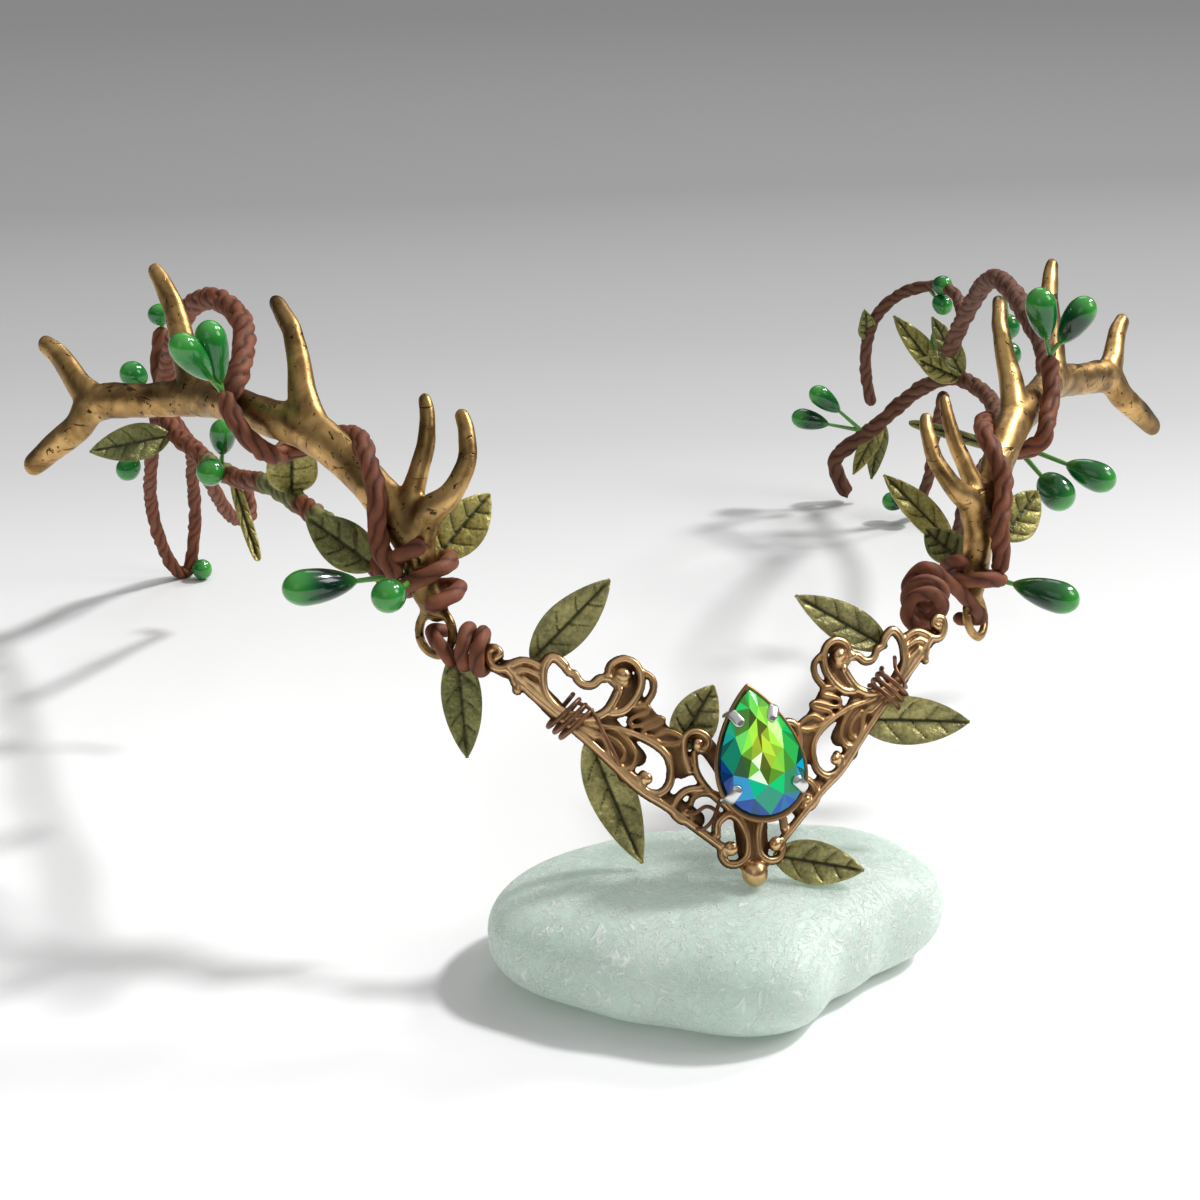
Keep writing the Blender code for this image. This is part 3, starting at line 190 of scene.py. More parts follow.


# The emission paints a glow for light passing through the frosted glass, though the pebble is no lamp
frosted = finish("frosted_sea_glass", IOR=1.45, Transmission_Weight=0.12, Subsurface_Weight=0.7,
                 Subsurface_Radius=(1.0, 1.0, 1.0), Subsurface_Scale=0.006, Emission_Color=PAINTED_GLOW_GREEN,
                 Emission_Strength=0.13)
curls = ramp(frosted, noise(frosted, 130, 2.0, 0.5, 3.2), (0.456, 0.0), (0.488, 1.0), (0.520, 0.0))
fine_curls = ramp(frosted, noise(frosted, 300, 2.0, 0.6, 2.4), (0.455, 0.0), (0.480, 0.8), (0.505, 0.0))
clouds = ramp(frosted, noise(frosted, 45, 4.0, 0.6), (0.3, SEA_GLASS_SHADE), (0.7, SEA_GLASS))
patches = ramp(frosted, noise(frosted, 60, 2.0), (0.38, 0.6), (0.62, 1.0))
scratched = blend(frosted, 1.0, blend(frosted, 1.0, curls, fine_curls, "LIGHTEN"), patches, "MULTIPLY")
send(frosted, blend(frosted, scratched, clouds, SCRATCH_WHITE), "Base Color")
send(frosted, ramp(frosted, noise(frosted, 90, 3.0), (0.3, 0.42), (0.7, 0.6)), "Roughness")
emboss(frosted, 1.0, 0.4, scratched, noise(frosted, 700, 2.0))
lay("sea_glass_pebble", [pebble_skin(150, 260)], frosted, "frosted_glass", "display_stone")


# Filigree front
# The casting at the brow: a web with raised wires that curl into scrolls, mirrored about the middle and
# bent round the forehead. It is cast in one in brass, dipped in a brown patina, and rubbed bright on
# everything that is raised.
TIP_BACK = -10.5
FILIGREE_LEAN = 27.0
LEFT_BEND_RADIUS = 67.0
RIGHT_FOLD = 0.30
RIGHT_SQUEEZE = 0.967
FOLD_ROUND = 3.0
TIP_BALL = 3.8
BALL_RISE = 0.3
CLEARANCE = 0.3
WING_HALF_DEPTH = 0.5
WEB_DEPTH = 0.55
WEB_SPREAD = 0.16
WIRE_LIFT = 0.42
CASTING_GRAIN = 0.175
CASTING_SMOOTHING = 2
# Heights above the web's middle where the rubbed gold begins, and over which it grows full
RUB_START = 0.30
RUB_SPAN = 0.62
GOLD_BRIGHT = (0.84, 0.54, 0.27, 1)
GOLD_MIDDLE = (0.46, 0.26, 0.11, 1)
PATINA_BROWN = (0.085, 0.043, 0.021, 1)
# Raised wires of one wing: radius at the start and at the end, then the places (sideways, upwards) that
# they follow
RAISED_WIRES = {
    "end_curl": (0.62, 0.50, [(33.0, 30.3), (32.4, 30.9), (32.9, 31.6), (33.9, 31.2), (34.1, 29.9),
        (33.3, 28.8), (32.0, 28.8), (30.6, 29.7), (29.3, 30.2), (28.1, 30.0), (26.8, 29.3)]),
    "upper_feather": (0.55, 0.50, [(30.6, 27.0), (30.7, 28.1), (29.9, 28.8), (28.9, 28.9), (27.3, 28.3)]),
    "lower_feather": (0.55, 0.50, [(30.4, 25.9), (30.2, 26.7), (29.3, 27.2), (28.4, 27.0), (27.3, 26.3)]),
    "open_loop": (0.62, 0.62, [(23.8, 30.0), (24.6, 30.8), (25.5, 31.0), (26.5, 29.9), (26.9, 28.4),
        (26.9, 26.6), (26.4, 25.2), (25.3, 23.9), (23.6, 23.1), (21.9, 22.7), (20.1, 22.9), (18.5, 23.9),
        (17.5, 25.3), (16.8, 26.6)]),
    "wavy_link": (0.50, 0.55, [(23.8, 29.9), (23.2, 29.0), (22.5, 28.9), (22.1, 28.0), (21.3, 27.4),
        (20.2, 27.5), (19.3, 28.3), (18.4, 28.5)]),
    "lower_rib": (0.55, 0.60, [(3.9, 4.6), (7.2, 7.3), (11.3, 10.6), (15.0, 13.1), (18.8, 17.0),
        (21.9, 20.0), (25.0, 22.7), (28.4, 25.6), (30.8, 28.0), (31.6, 28.9)]),
    "second_rib": (0.55, 0.55, [(20.4, 20.3), (23.4, 22.2), (26.0, 24.2), (28.2, 26.6), (29.4, 27.6)]),
    "great_scroll": (0.60, 0.45, [(18.0, 23.5), (16.2, 24.0), (14.4, 26.0), (13.6, 28.3), (14.1, 30.4),
        (15.7, 31.2), (17.4, 30.4), (17.9, 28.9), (17.0, 27.6), (15.7, 27.9), (15.5, 28.9)]),
    "side_lobe": (0.42, 0.42, [(13.1, 25.2), (12.1, 26.7), (12.0, 28.4), (13.0, 29.3), (13.6, 29.5)]),
    "zigzag": (0.36, 0.34, [(15.0, 24.6), (13.4, 24.8), (12.9, 24.0), (15.2, 23.0), (15.6, 22.1),
        (14.5, 21.9), (11.6, 23.0), (11.1, 22.5), (13.6, 21.4), (14.0, 20.7), (12.8, 20.4)]),
    "leaf_eye": (0.34, 0.34, [(12.6, 20.2), (11.1, 21.2), (9.7, 21.0), (8.6, 20.1), (9.9, 19.4),
        (11.6, 19.5), (12.5, 20.1)]),
    "middle_rib": (0.46, 0.56, [(22.6, 22.3), (19.4, 21.7), (17.1, 21.4), (14.6, 20.5), (12.4, 19.3),
        (10.9, 17.8), (10.5, 15.8), (11.0, 13.7), (12.4, 12.5), (14.1, 12.8), (14.9, 14.0), (14.3, 15.1)]),
    "rib_feather": (0.40, 0.45, [(17.4, 21.3), (15.9, 19.6), (15.2, 17.8), (15.8, 16.2), (16.6, 15.9)]),
    "short_feather": (0.38, 0.38, [(18.9, 20.5), (17.4, 19.4), (16.7, 17.9), (17.4, 16.8)]),
    "long_feather": (0.45, 0.45, [(22.4, 21.6), (19.5, 20.2), (18.6, 17.7), (17.2, 16.0), (15.4, 14.6)]),
    "stone_scroll": (0.55, 0.45, [(8.0, 15.6), (8.6, 18.2), (8.2, 20.3), (6.8, 21.1), (5.3, 20.4),
        (5.1, 19.0), (6.1, 18.4), (6.9, 19.0)]),
    "low_scroll": (0.52, 0.42, [(6.6, 13.1), (7.6, 13.1), (9.0, 12.7), (10.3, 11.4), (10.6, 9.8),
        (9.5, 8.7), (8.2, 9.0), (8.2, 9.9)]),
    "low_inner": (0.40, 0.36, [(4.4, 12.2), (6.4, 12.5), (7.7, 12.0), (8.2, 11.1)]),
    "volute": (0.55, 0.50, [(5.0, 6.6), (4.8, 8.2), (3.9, 9.1), (2.8, 9.4), (1.6, 8.5), (0.9, 6.9),
        (0.75, 5.2), (1.1, 3.5), (2.3, 2.6), (3.8, 2.7), (4.5, 3.9), (4.2, 5.0)]),
    "collar": (0.50, 0.45, [(2.4, 9.8), (3.6, 10.9), (5.6, 12.9), (7.0, 15.4), (7.2, 18.0)]),
}
# Round ends that the wires curl into: place, radius and lift
SCROLL_BEADS = [
    (33.1, 30.2, 0.62, 0.3), (16.1, 28.9, 1.15, 0.45), (14.0, 14.6, 0.88, 0.5), (6.5, 19.4, 0.75, 0.4),
    (8.9, 9.9, 0.62, 0.4), (3.3, 4.7, 1.08, 0.7), (16.7, 26.9, 0.62, 0.5), (18.2, 28.5, 0.66, 0.5)
]
# Web behind the wires where they stand apart: radius, and the places that it follows
WEB_FILLS = [
    (1.5, [(14.6, 25.0), (12.8, 22.6), (11.2, 20.6), (9.6, 18.6), (9.2, 16.0)]),
    (1.3, [(6.0, 20.0), (4.0, 17.0), (2.0, 13.0), (0.0, 10.0)]),
    (2.2, [(0.0, 19.0), (0.0, 15.0), (0.4, 11.0), (0.2, 6.0), (0.0, 2.6)]),
    (1.3, [(7.6, 9.0), (11.0, 11.4)]),
    (1.4, [(21.0, 21.4), (17.2, 18.0), (16.6, 15.2)]),
    (1.5, [(25.4, 23.6), (29.0, 27.4), (31.0, 28.8)]),
    (1.3, [(27.6, 29.2), (27.8, 26.4)]),
    (1.4, [(18.4, 22.0), (15.0, 17.6)]),
    (1.3, [(16.0, 29.6), (15.6, 27.0), (17.0, 24.6)]),
]


def tip_height():
    """Height of the filigree's lowest point on its slope, with its ball resting on the glass."""
    return STONE_HEIGHT + CLEARANCE + TIP_BALL * (0.5 - BALL_RISE * np.cos(np.radians(FILIGREE_LEAN)))


def on_slope(flat, back=0.0):
    """Points (sideways, upwards, proud) put on a plane that leans back, and moved back by some amount."""
    s, t, proud = np.moveaxis(np.asarray(flat, float), -1, 0)
    lean = np.radians(FILIGREE_LEAN)
    forward = np.cos(lean) * proud - np.sin(lean) * t - back
    height = tip_height() + np.cos(lean) * t + np.sin(lean) * proud
    return np.stack([s, TIP_BACK - forward, height], axis=-1)


def on_wing(flat):
    """The slope with its left wing bent back in an arc, and its right wing folded back and drawn in."""
    flat = np.array(flat, float)
    s = flat[..., 0]
    fold = RIGHT_FOLD * (np.hypot(s, FOLD_ROUND) - FOLD_ROUND)
    back = np.where(s < 0, s ** 2 / (2 * LEFT_BEND_RADIUS), fold)
    flat[..., 0] = np.where(s < 0, s, s * RIGHT_SQUEEZE)
    return on_slope(flat, back)


def lengths_along(path):
    """Length of the path up to each of its points."""
    return np.concatenate([[0.0], np.cumsum(np.linalg.norm(np.diff(path[:, :3], axis=0), axis=1))])


def smooth_run(points, step):
    """Even stations on a smooth curve through the points. Columns after the third, such as a radius, go
    along."""
    points = np.asarray(points, float)
    ends = np.vstack([2 * points[0] - points[1], points, 2 * points[-1] - points[-2]])
    a, b, c, d = ends[:-3], ends[1:-2], ends[2:-1], ends[3:]
    t = np.linspace(0, 1, 24, endpoint=False)[:, None, None]
    square, cube = 2 * a - 5 * b + 4 * c - d, 3 * b - a - 3 * c + d
    dense = 0.5 * (2 * b + (c - a) * t + square * t ** 2 + cube * t ** 3)
    dense = np.vstack([dense.transpose(1, 0, 2).reshape(-1, points.shape[1]), points[-1:]])
    run = lengths_along(dense)
    even = np.linspace(0, run[-1], max(3, round(run[-1] / step) + 1))
    return np.stack([np.interp(even, run, column) for column in dense.T], axis=-1)


def frames_along(path):
    """Directions along a path and two across it, carried from station to station with no twist."""
    along = np.gradient(path, axis=0)
    along /= np.linalg.norm(along, axis=1, keepdims=True)
    least = np.eye(3)[np.argmin(np.abs(along[0]))]
    across = [np.cross(along[0], least)]
    for direction in along[1:]:
        across.append(across[-1] - direction * np.dot(across[-1], direction))
        across[-1] = across[-1] / np.linalg.norm(across[-1])
    across[0] = across[0] / np.linalg.norm(across[0])
    across = np.array(across)
    return along, across, np.cross(along, across)


def rims_along(path, sides):
    """A circle of directions across the path at each station."""
    along, across, third = frames_along(path)
    bearing = np.linspace(0, 2 * np.pi, sides, endpoint=False)[None, :, None]
    return across[:, None] * np.cos(bearing) + third[:, None] * np.sin(bearing)


def rod(path, radius, sides=14, flat=1.0):
    """Round bar: a circle carried along a path, its ends drawn in over a quarter turn to round tips. A
    flat other than one squashes it along z."""
    path = np.asarray(path, float)
    radius = np.broadcast_to(radius, len(path)).astype(float)
    along = frames_along(path)[0]
    turn = np.radians([84, 62, 40, 20])[:, None]
    first = path[0] - along[0] * radius[0] * np.sin(turn)
    last = path[-1] + along[-1] * radius[-1] * np.sin(turn[::-1])
    stations = np.vstack([first, path, last])
    sizes = np.concatenate([radius[0] * np.cos(turn[:, 0]), radius, radius[-1] * np.cos(turn[::-1, 0])])
    held = np.clip(np.arange(len(stations)) - 4, 0, len(path) - 1)
    return stations[:, None] + rims_along(path, sides)[held] * sizes[:, None, None] * np.array([1, 1, flat])


def bead(centre, radius):
    """Ball in rows from its lowest point to its highest."""
    level = np.linspace(-np.pi / 2 + 0.12, np.pi / 2 - 0.12, 11)[:, None]
    bearing = np.linspace(0, 2 * np.pi, 18, endpoint=False)[None, :]
    ball = np.stack([np.cos(level) * np.cos(bearing), np.cos(level) * np.sin(bearing),
                     np.sin(level) + 0 * bearing], axis=-1)
    return np.asarray(centre, float) + radius * ball


def cast_together(grids, grain, rounds):
    """Fuses overlapping skins into one cast surface with soft fillets. Returns its points and faces."""
    rough = lay("rough_casting", grids, bpy.data.materials.new("rough"), "antique_brass")
    melt = rough.modifiers.new("melt", "REMESH")
    melt.mode = "VOXEL"
    melt.voxel_size = grain * 0.001
    soften = rough.modifiers.new("soften", "SMOOTH")
    soften.factor = 0.5
    soften.iterations = rounds
    mesh = bpy.data.meshes.new_from_object(rough.evaluated_get(bpy.context.evaluated_depsgraph_get()))
    points = np.empty(len(mesh.vertices) * 3, np.float32)
    mesh.vertices.foreach_get("co", points)
    faces = [tuple(polygon.vertices) for polygon in mesh.polygons]
    bpy.data.objects.remove(rough, do_unlink=True)
    return points.reshape(-1, 3) * 1000.0, faces


def flat_run(places, lift, *sizes):
    """A wire's places on the flat wing, lifted, with its radius running evenly from the first size to
    the last."""
    rows = np.array([(s, t, lift, 0.0) for s, t in places])
    rows[:, 3] = np.linspace(sizes[0], sizes[-1], len(rows))
    return smooth_run(rows, 0.35)


skins = []
for side in (-1, 1):
    mirror = np.array([side, 1, 1])
    for start, end, places in RAISED_WIRES.values():
        run = flat_run(places, WIRE_LIFT, start, end)
        skins.append(rod(run[:, :3] * mirror, run[:, 3], 12))
        run = flat_run(places, 0.0, start, end)
        skins.append(rod(run[:, :3] * mirror, run[:, 3] + WEB_SPREAD, 12, WEB_DEPTH / 1.2))
    for s, t, size, lift in SCROLL_BEADS:
        skins.append(bead((side * s, t, lift), size))
    for size, places in WEB_FILLS:
        run = flat_run(places, 0.0, size)
        skins.append(rod(run[:, :3] * mirror, run[:, 3], 12, WEB_DEPTH / size * 0.8))
skins.append(bead((0.0, TIP_BALL * BALL_RISE, 0.1), TIP_BALL / 2))
cast, cast_faces = cast_together(skins, CASTING_GRAIN, CASTING_SMOOTHING)
ridge = np.clip((cast[:, 2] - RUB_START) / RUB_SPAN, 0, 1)
at_tip = np.clip((TIP_BALL * BALL_RISE + 1.2 - cast[:, 1]) / 0.8, 0, 1) * (np.abs(cast[:, 0]) < 2.4)
ridge = np.maximum(ridge, at_tip)

rubbed_gold = finish("rubbed_antique_gold", Metallic=1.0)
worn = add(rubbed_gold, "Attribute", attribute_name="ridge").outputs["Fac"]
spots = ramp(rubbed_gold, noise(rubbed_gold, 420, 4.0, 0.6), (0.35, 0.74), (0.65, 1.0))
rubbed = ramp(rubbed_gold, worn, (0.0, PATINA_BROWN), (0.35, (0.32, 0.18, 0.085, 1)), (0.7, GOLD_MIDDLE),
              (1.0, GOLD_BRIGHT))
send(rubbed_gold, blend(rubbed_gold, 1.0, rubbed, spots, "MULTIPLY"), "Base Color")
send(rubbed_gold, ramp(rubbed_gold, worn, (0.0, 0.62), (0.8, 0.36), (1.0, 0.30)), "Roughness")
emboss(rubbed_gold, 0.25, 0.12, noise(rubbed_gold, 1100, 3.0))
lay_mesh("brow_filigree", on_wing(cast), cast_faces, rubbed_gold, "antique_copper", "filigree_front",
         ridge=ridge)


# Setting and pear stone
# The cut crystal is pear-shaped, with a foiled back, and sits in a cup of the same brass. Four silver
# claws, two at the shoulders and two low down, are bent over its edge.
PEAR_LENGTH = 17.2
PEAR_WIDTH = 12.0
PEAR_DEPTH = 5.4
PEAR_HEIGHT_ON_WING = 17.4
PEAR_ASIDE = 0.7
PEAR_ROLL = 5.0
PEAR_FULLNESS = 1.19
PEAR_CROWN_SHARE = 0.38
# Facets under the table, counted from the first one below the culet's ring, that get a painted white glint
# or a painted dark reflection
PAINTED_GLINT_FACETS = [4, 12]
PAINTED_DARK_FACETS = [3, 13]
CUP_WALL = 0.8
CLAW_BEARINGS = [-50, 50, -130, 130]
CLAW_WIDTH = 1.55
CLAW_THICKNESS = 0.68
# A claw's way up the cup and over the edge: how far outside the outline, and how far above the girdle
CLAW_BEND = [(0.5, -2.4), (0.5, -0.9), (0.35, 0.2), (-0.1, 0.7), (-0.9, 1.1), (-1.8, 1.4)]


def pear_rim(share, bearing):
    """Pear outline about its centre: a circle drawn in towards the top by the sine of its half-angle."""
    width = np.sin(bearing) * np.abs(np.sin(bearing / 2)) ** 0.75
    return PEAR_WIDTH / 2 * PEAR_FULLNESS * share * width, PEAR_LENGTH / 2 * share * np.cos(bearing)


def pear_place(across, up, height):
    """Puts points of the pear's own plane on the slope, rolled a little, at a height in front of it."""
    roll = np.radians(PEAR_ROLL)
    s = PEAR_ASIDE + across * np.cos(roll) - up * np.sin(roll)
    t = PEAR_HEIGHT_ON_WING + across * np.sin(roll) + up * np.cos(roll)
    return on_slope(np.stack([s, t, height + 0 * s], axis=-1))


CUP_BACK = WING_HALF_DEPTH + 0.72 + CLEARANCE * 1.3
GIRDLE = CUP_BACK + CUP_WALL + CLEARANCE + PEAR_DEPTH * (1 - PEAR_CROWN_SHARE)


def turned_pear(profile, columns=96):
    """A cup or ring: each row of the profile is a share of the pear's outline and a height."""
    bearing = np.linspace(0, 2 * np.pi, columns, endpoint=False)
    rows = [pear_place(*pear_rim(share, bearing), height) for share, height in profile]
    return np.array(rows)[:, ::-1]


wall = CUP_WALL / (PEAR_WIDTH / 2) * 0.7
cup_rows = [
    (0.04, CUP_BACK), (0.55, CUP_BACK), (0.82, CUP_BACK + 0.2), (0.93, CUP_BACK + 0.7),
    (1.0 + wall, GIRDLE - 1.6), (1.02 + wall, GIRDLE - 0.5), (1.0 + wall * 0.8, GIRDLE - 0.22),
    (1.0 + wall * 0.3, GIRDLE - 0.35), (0.93, GIRDLE - 0.9), (0.6, CUP_BACK + 0.9), (0.04, CUP_BACK + 0.7)
]
mean_reach = 8.0
cup_profile = smooth_run([(share * mean_reach, height, 0.0) for share, height in cup_rows], 0.22)
cup_grid = turned_pear([(row[0] / mean_reach, row[1]) for row in cup_profile])
lay("pear_cup", [cup_grid], rubbed_gold, "antique_copper", "stone_setting",
    ridge=[np.full(cup_grid.shape[:2], 0.55)])


def claw(bearing):
    """Flat prong: an oval section carried up the cup's side and bent over the stone's edge."""
    turn = np.radians(bearing)
    across, up = pear_rim(1.0, turn)
    out = np.array([across, up]) / np.hypot(across, up)
    path = smooth_run([(across + out[0] * beyond, up + out[1] * beyond, GIRDLE + above)
                       for beyond, above in CLAW_BEND], 0.15)
    sideways = np.tile([-out[1], out[0], 0.0], (len(path), 1))
    facing = np.cross(frames_along(path)[0], sideways)
    bearing_round = np.linspace(0, 2 * np.pi, 20, endpoint=False)[None, :, None]
    end = np.clip((len(path) - 1 - np.arange(len(path))) / 4.0, 0.0, 1.0)
    half = (CLAW_WIDTH / 2 * np.sqrt(1 - (1 - np.maximum(end, 0.06)) ** 2))[:, None, None]
    thick = (CLAW_THICKNESS / 2 * np.maximum(end, 0.3))[:, None, None]
    grid = (path[:, None] + sideways[:, None] * half * np.cos(bearing_round)
            + facing[:, None] * thick * np.sin(bearing_round))
    return pear_place(grid[..., 0], grid[..., 1], grid[..., 2])


silver = finish("claw_silver", Base_Color=(0.74, 0.74, 0.73, 1), Metallic=1.0, Roughness=0.28)
emboss(silver, 0.2, 0.1, noise(silver, 900, 2.0))
lay("stone_claws", [claw(bearing) for bearing in CLAW_BEARINGS], silver, "prong_silver", "stone_setting")


def cut_pear():
    """Facet corners in rings: culet, table centre, table, stars, girdle and pavilion. The table is
    parted into the facets that are seen through it."""
    rings = [(0.0, 0.335, 1, 0.0), (0.30, 0.345, 8, 0.5), (0.54, 0.335, 8, 0.0), (0.77, 0.235, 8, 0.5),
             (1.0, 0.045, 32, 0.0), (1.0, -0.04, 32, 0.0), (0.55, -0.42, 8, 0.5), (0.14, -0.60, 8, 0.5)]
    corners = [pear_place(*pear_rim(share, 2 * np.pi * (np.arange(count) + shift) / count),
                          GIRDLE + PEAR_DEPTH * level) for share, level, count, shift in rings]
    starts = np.concatenate([[0], np.cumsum([len(ring) for ring in corners])])[:-1]
    middle, inner, table, star, upper, lower, belly, foot = starts
    k = np.arange(8)
    after = (k + 1) % 8
    faces = np.stack([middle + 0 * k, inner + k, inner + after], axis=-1).tolist()
    faces += np.stack([inner + k, table + k, table + after], axis=-1).tolist()
    faces += np.stack([inner + k, table + after, inner + after], axis=-1).tolist()
    faces += np.stack([table + k, star + k, table + after], axis=-1).tolist()
    faces += np.stack([table + after, star + k, upper + (4 * k + 4) % 32, star + after], axis=-1).tolist()
    j = np.arange(32)
    next_j = (j + 1) % 32
    faces += np.stack([star + j // 4, upper + j, upper + next_j], axis=-1).tolist()
    faces += np.stack([upper + j, lower + j, lower + next_j, upper + next_j], axis=-1).tolist()
    faces += np.stack([lower + j, belly + j // 4, lower + next_j], axis=-1).tolist()
    faces += np.stack([belly + k, belly + after, lower + (4 * k + 4) % 32], axis=-1).tolist()
    faces += np.stack([belly + k, foot + k, foot + after, belly + after], axis=-1).tolist()
    faces.append((foot + k).tolist())
    return np.vstack(corners), faces


pear_points, pear_faces = cut_pear()
middles = np.array([pear_points[list(face)].mean(axis=0) for face in pear_faces])
# Each facet gets a random painted flash of reflected light, and the listed facets are set to a painted
# glint or a painted dark reflection
facet_flashes = np.random.default_rng(5).uniform(0.0, 0.92, len(pear_faces))
facet_flashes[PAINTED_GLINT_FACETS] = 1.0
facet_flashes[PAINTED_DARK_FACETS] = 0.05
# The emission paints in light thrown back from the foiled back, so the stone glows though it is no lamp
crystal = finish("foiled_crystal", Metallic=0.25, Roughness=0.10, IOR=1.5, Coat_Weight=0.5,
                 Coat_Roughness=0.02, Emission_Strength=0.45)
depth = add(crystal, "Attribute", attribute_name="rim_share").outputs["Fac"]
tone = add(crystal, "Attribute", attribute_name="facet_tone").outputs["Fac"]
stain = ramp(crystal, depth, (0.0, (0.66, 0.74, 0.04, 1)), (0.36, (0.28, 0.72, 0.05, 1)),
             (0.58, (0.01, 0.56, 0.10, 1)), (0.78, (0.0, 0.42, 0.30, 1)), (0.92, (0.0, 0.20, 0.46, 1)),
             (1.0, (0.0, 0.05, 0.26, 1)))
# Painted reflections: the flash brightens or darkens each facet's stain, and the glint facets are blended
# to a painted white highlight
painted_flash = ramp(crystal, tone, (0.0, 0.10), (0.25, 0.5), (0.6, 0.95), (0.9, 1.35))
stain_and_painted_light = blend(crystal, 1.0, stain, painted_flash, "MULTIPLY")
stain_and_painted_light = blend(crystal, ramp(crystal, tone, (0.93, 0.0), (0.95, 0.85)), stain_and_painted_light, (0.90, 1.0, 0.82, 1))
send(crystal, stain_and_painted_light, "Base Color")
send(crystal, stain_and_painted_light, "Emission Color")
lean = np.radians(FILIGREE_LEAN)
roll = np.radians(PEAR_ROLL)
from_centre = middles - pear_place(0.0, 0.0, GIRDLE)
across_face = from_centre[:, 0]
up_face = from_centre @ np.array([0.0, np.sin(lean), np.cos(lean)])
face_across = across_face * np.cos(roll) + up_face * np.sin(roll)
face_up = -across_face * np.sin(roll) + up_face * np.cos(roll)
raised = np.where(face_up > 0, face_up * 0.72, face_up + 0.4)
share_out = np.hypot(face_across / (PEAR_WIDTH / 2), raised / (PEAR_LENGTH / 2))
bluer = 0.12 * np.clip(-face_across / 5 - face_up / 9, -1, 1)
lay_mesh("cut_pear_stone", pear_points, pear_faces, crystal, "cut_crystal", "teardrop_stone", smooth=False,
         facet_tone=facet_flashes, rim_share=np.clip(share_out + bluer + 0.16 * (facet_flashes - 0.5), 0, 1))


# Cast antlers
# Each antler is one casting in antique brass: a beam with five tines, fused where they branch, and a loop
# at the foot. The metal is brown in its pits, and polished where hands and cloth reach it.
RING_DEPTH = 206.0
ANTLER_LENGTH = 92.0
ANTLER_HEIGHT = 42.0
BEAM_WIDTH = 6.6
BEAM_FLATNESS = 0.8
TINE_TAPER = 0.13
LOOP_DIAMETER = 8.0
LOOP_WIRE = 1.6
LOOP_PLACE = (0.002, -0.026)
ANTLER_GRAIN = 0.40
ANTLER_SMOOTHING = 12
ANTLER_WAVE = 0.05
# Foot in crown coordinates, heading from straight sideways, and lean back, in degrees
ANTLER_POSE = {
    "left": {"side": -1, "foot": (-40.3, 28.1, 32.3), "heading": 48.9, "lean": 12.6},
    "right": {"side": 1, "foot": (42.2, 36.9, 26.9), "heading": 50.4, "lean": 18.1},
}
# Bars of the casting: places outwards, upwards and through as shares of length, height and beam width, with
# the thickness there as a share of the beam width
ANTLER_BARS = {
    "beam": [(0.008, 0.050, 0.00, 0.62), (0.035, 0.125, -0.05, 0.76), (0.046, 0.250, -0.25, 0.92),
             (0.100, 0.370, -0.38, 0.98), (0.180, 0.465, -0.38, 0.92), (0.280, 0.550, -0.38, 1.00),
             (0.400, 0.565, -0.30, 0.90), (0.500, 0.575, -0.15, 0.88), (0.595, 0.560, 0.08, 0.96),
             (0.715, 0.505, 0.08, 0.86), (0.835, 0.450, 0.00, 0.94), (0.870, 0.345, -0.08, 0.80),
             (0.922, 0.245, -0.15, 0.72), (0.966, 0.160, -0.18, 0.60)],
    "inner": [(0.046, 0.260, -0.25, 0.90), (0.020, 0.380, -0.36, 0.80), (-0.016, 0.455, -0.32, 0.64),
              (-0.028, 0.570, -0.16, 0.54), (-0.010, 0.670, -0.04, 0.50), (0.006, 0.712, 0.00, 0.44)],
    "outer": [(0.046, 0.300, -0.30, 0.90), (0.060, 0.400, -0.32, 0.72), (0.058, 0.500, -0.26, 0.58),
              (0.056, 0.600, -0.18, 0.52), (0.066, 0.695, -0.12, 0.47), (0.078, 0.738, -0.08, 0.42)],
    "third": [(0.270, 0.540, -0.38, 0.96), (0.315, 0.650, -0.30, 0.84), (0.345, 0.770, -0.18, 0.68),
              (0.380, 0.870, -0.05, 0.60), (0.420, 0.935, 0.06, 0.53), (0.442, 0.958, 0.15, 0.47)],
    "fourth": [(0.590, 0.560, 0.08, 0.94), (0.640, 0.700, 0.14, 0.82), (0.675, 0.830, 0.18, 0.70),
               (0.715, 0.930, 0.20, 0.60), (0.744, 0.982, 0.21, 0.48)],
    "upper": [(0.830, 0.450, 0.00, 0.90), (0.885, 0.500, 0.00, 0.80), (0.935, 0.580, 0.00, 0.70),
              (0.984, 0.626, 0.00, 0.58)],
}
BRASS_BRIGHT = (0.78, 0.50, 0.20, 1)
BRASS_MIDDLE = (0.50, 0.30, 0.11, 1)
BRASS_DARK = (0.22, 0.12, 0.045, 1)


def crown(points):
    """Crown points raised by the front tip: by all of its lift at the front, and by none at the back."""
    points = np.asarray(points, float)
    lifted = points + (0.0, TIP_BACK, 0.0)
    lifted[..., 2] += tip_height() * (1 - points[..., 1] / RING_DEPTH)
    return lifted


def on_antler(side, points):
    """Points outwards, upwards and through an antler, turned to its heading and leant about its foot."""
    pose = ANTLER_POSE[side]
    heading, tilt, sign = np.radians(pose["heading"]), np.radians(pose["lean"]), pose["side"]
    outward = np.array([sign * np.cos(heading), np.sin(heading), 0.0])
    inward = np.array([-sign * np.sin(heading), np.cos(heading), 0.0])
    upward = np.array([0.0, 0.0, np.cos(tilt)]) + np.sin(tilt) * inward
    through = np.cos(tilt) * inward - np.array([0.0, 0.0, np.sin(tilt)])
    return crown(pose["foot"]) + np.asarray(points, float) @ np.stack([outward, upward, through])


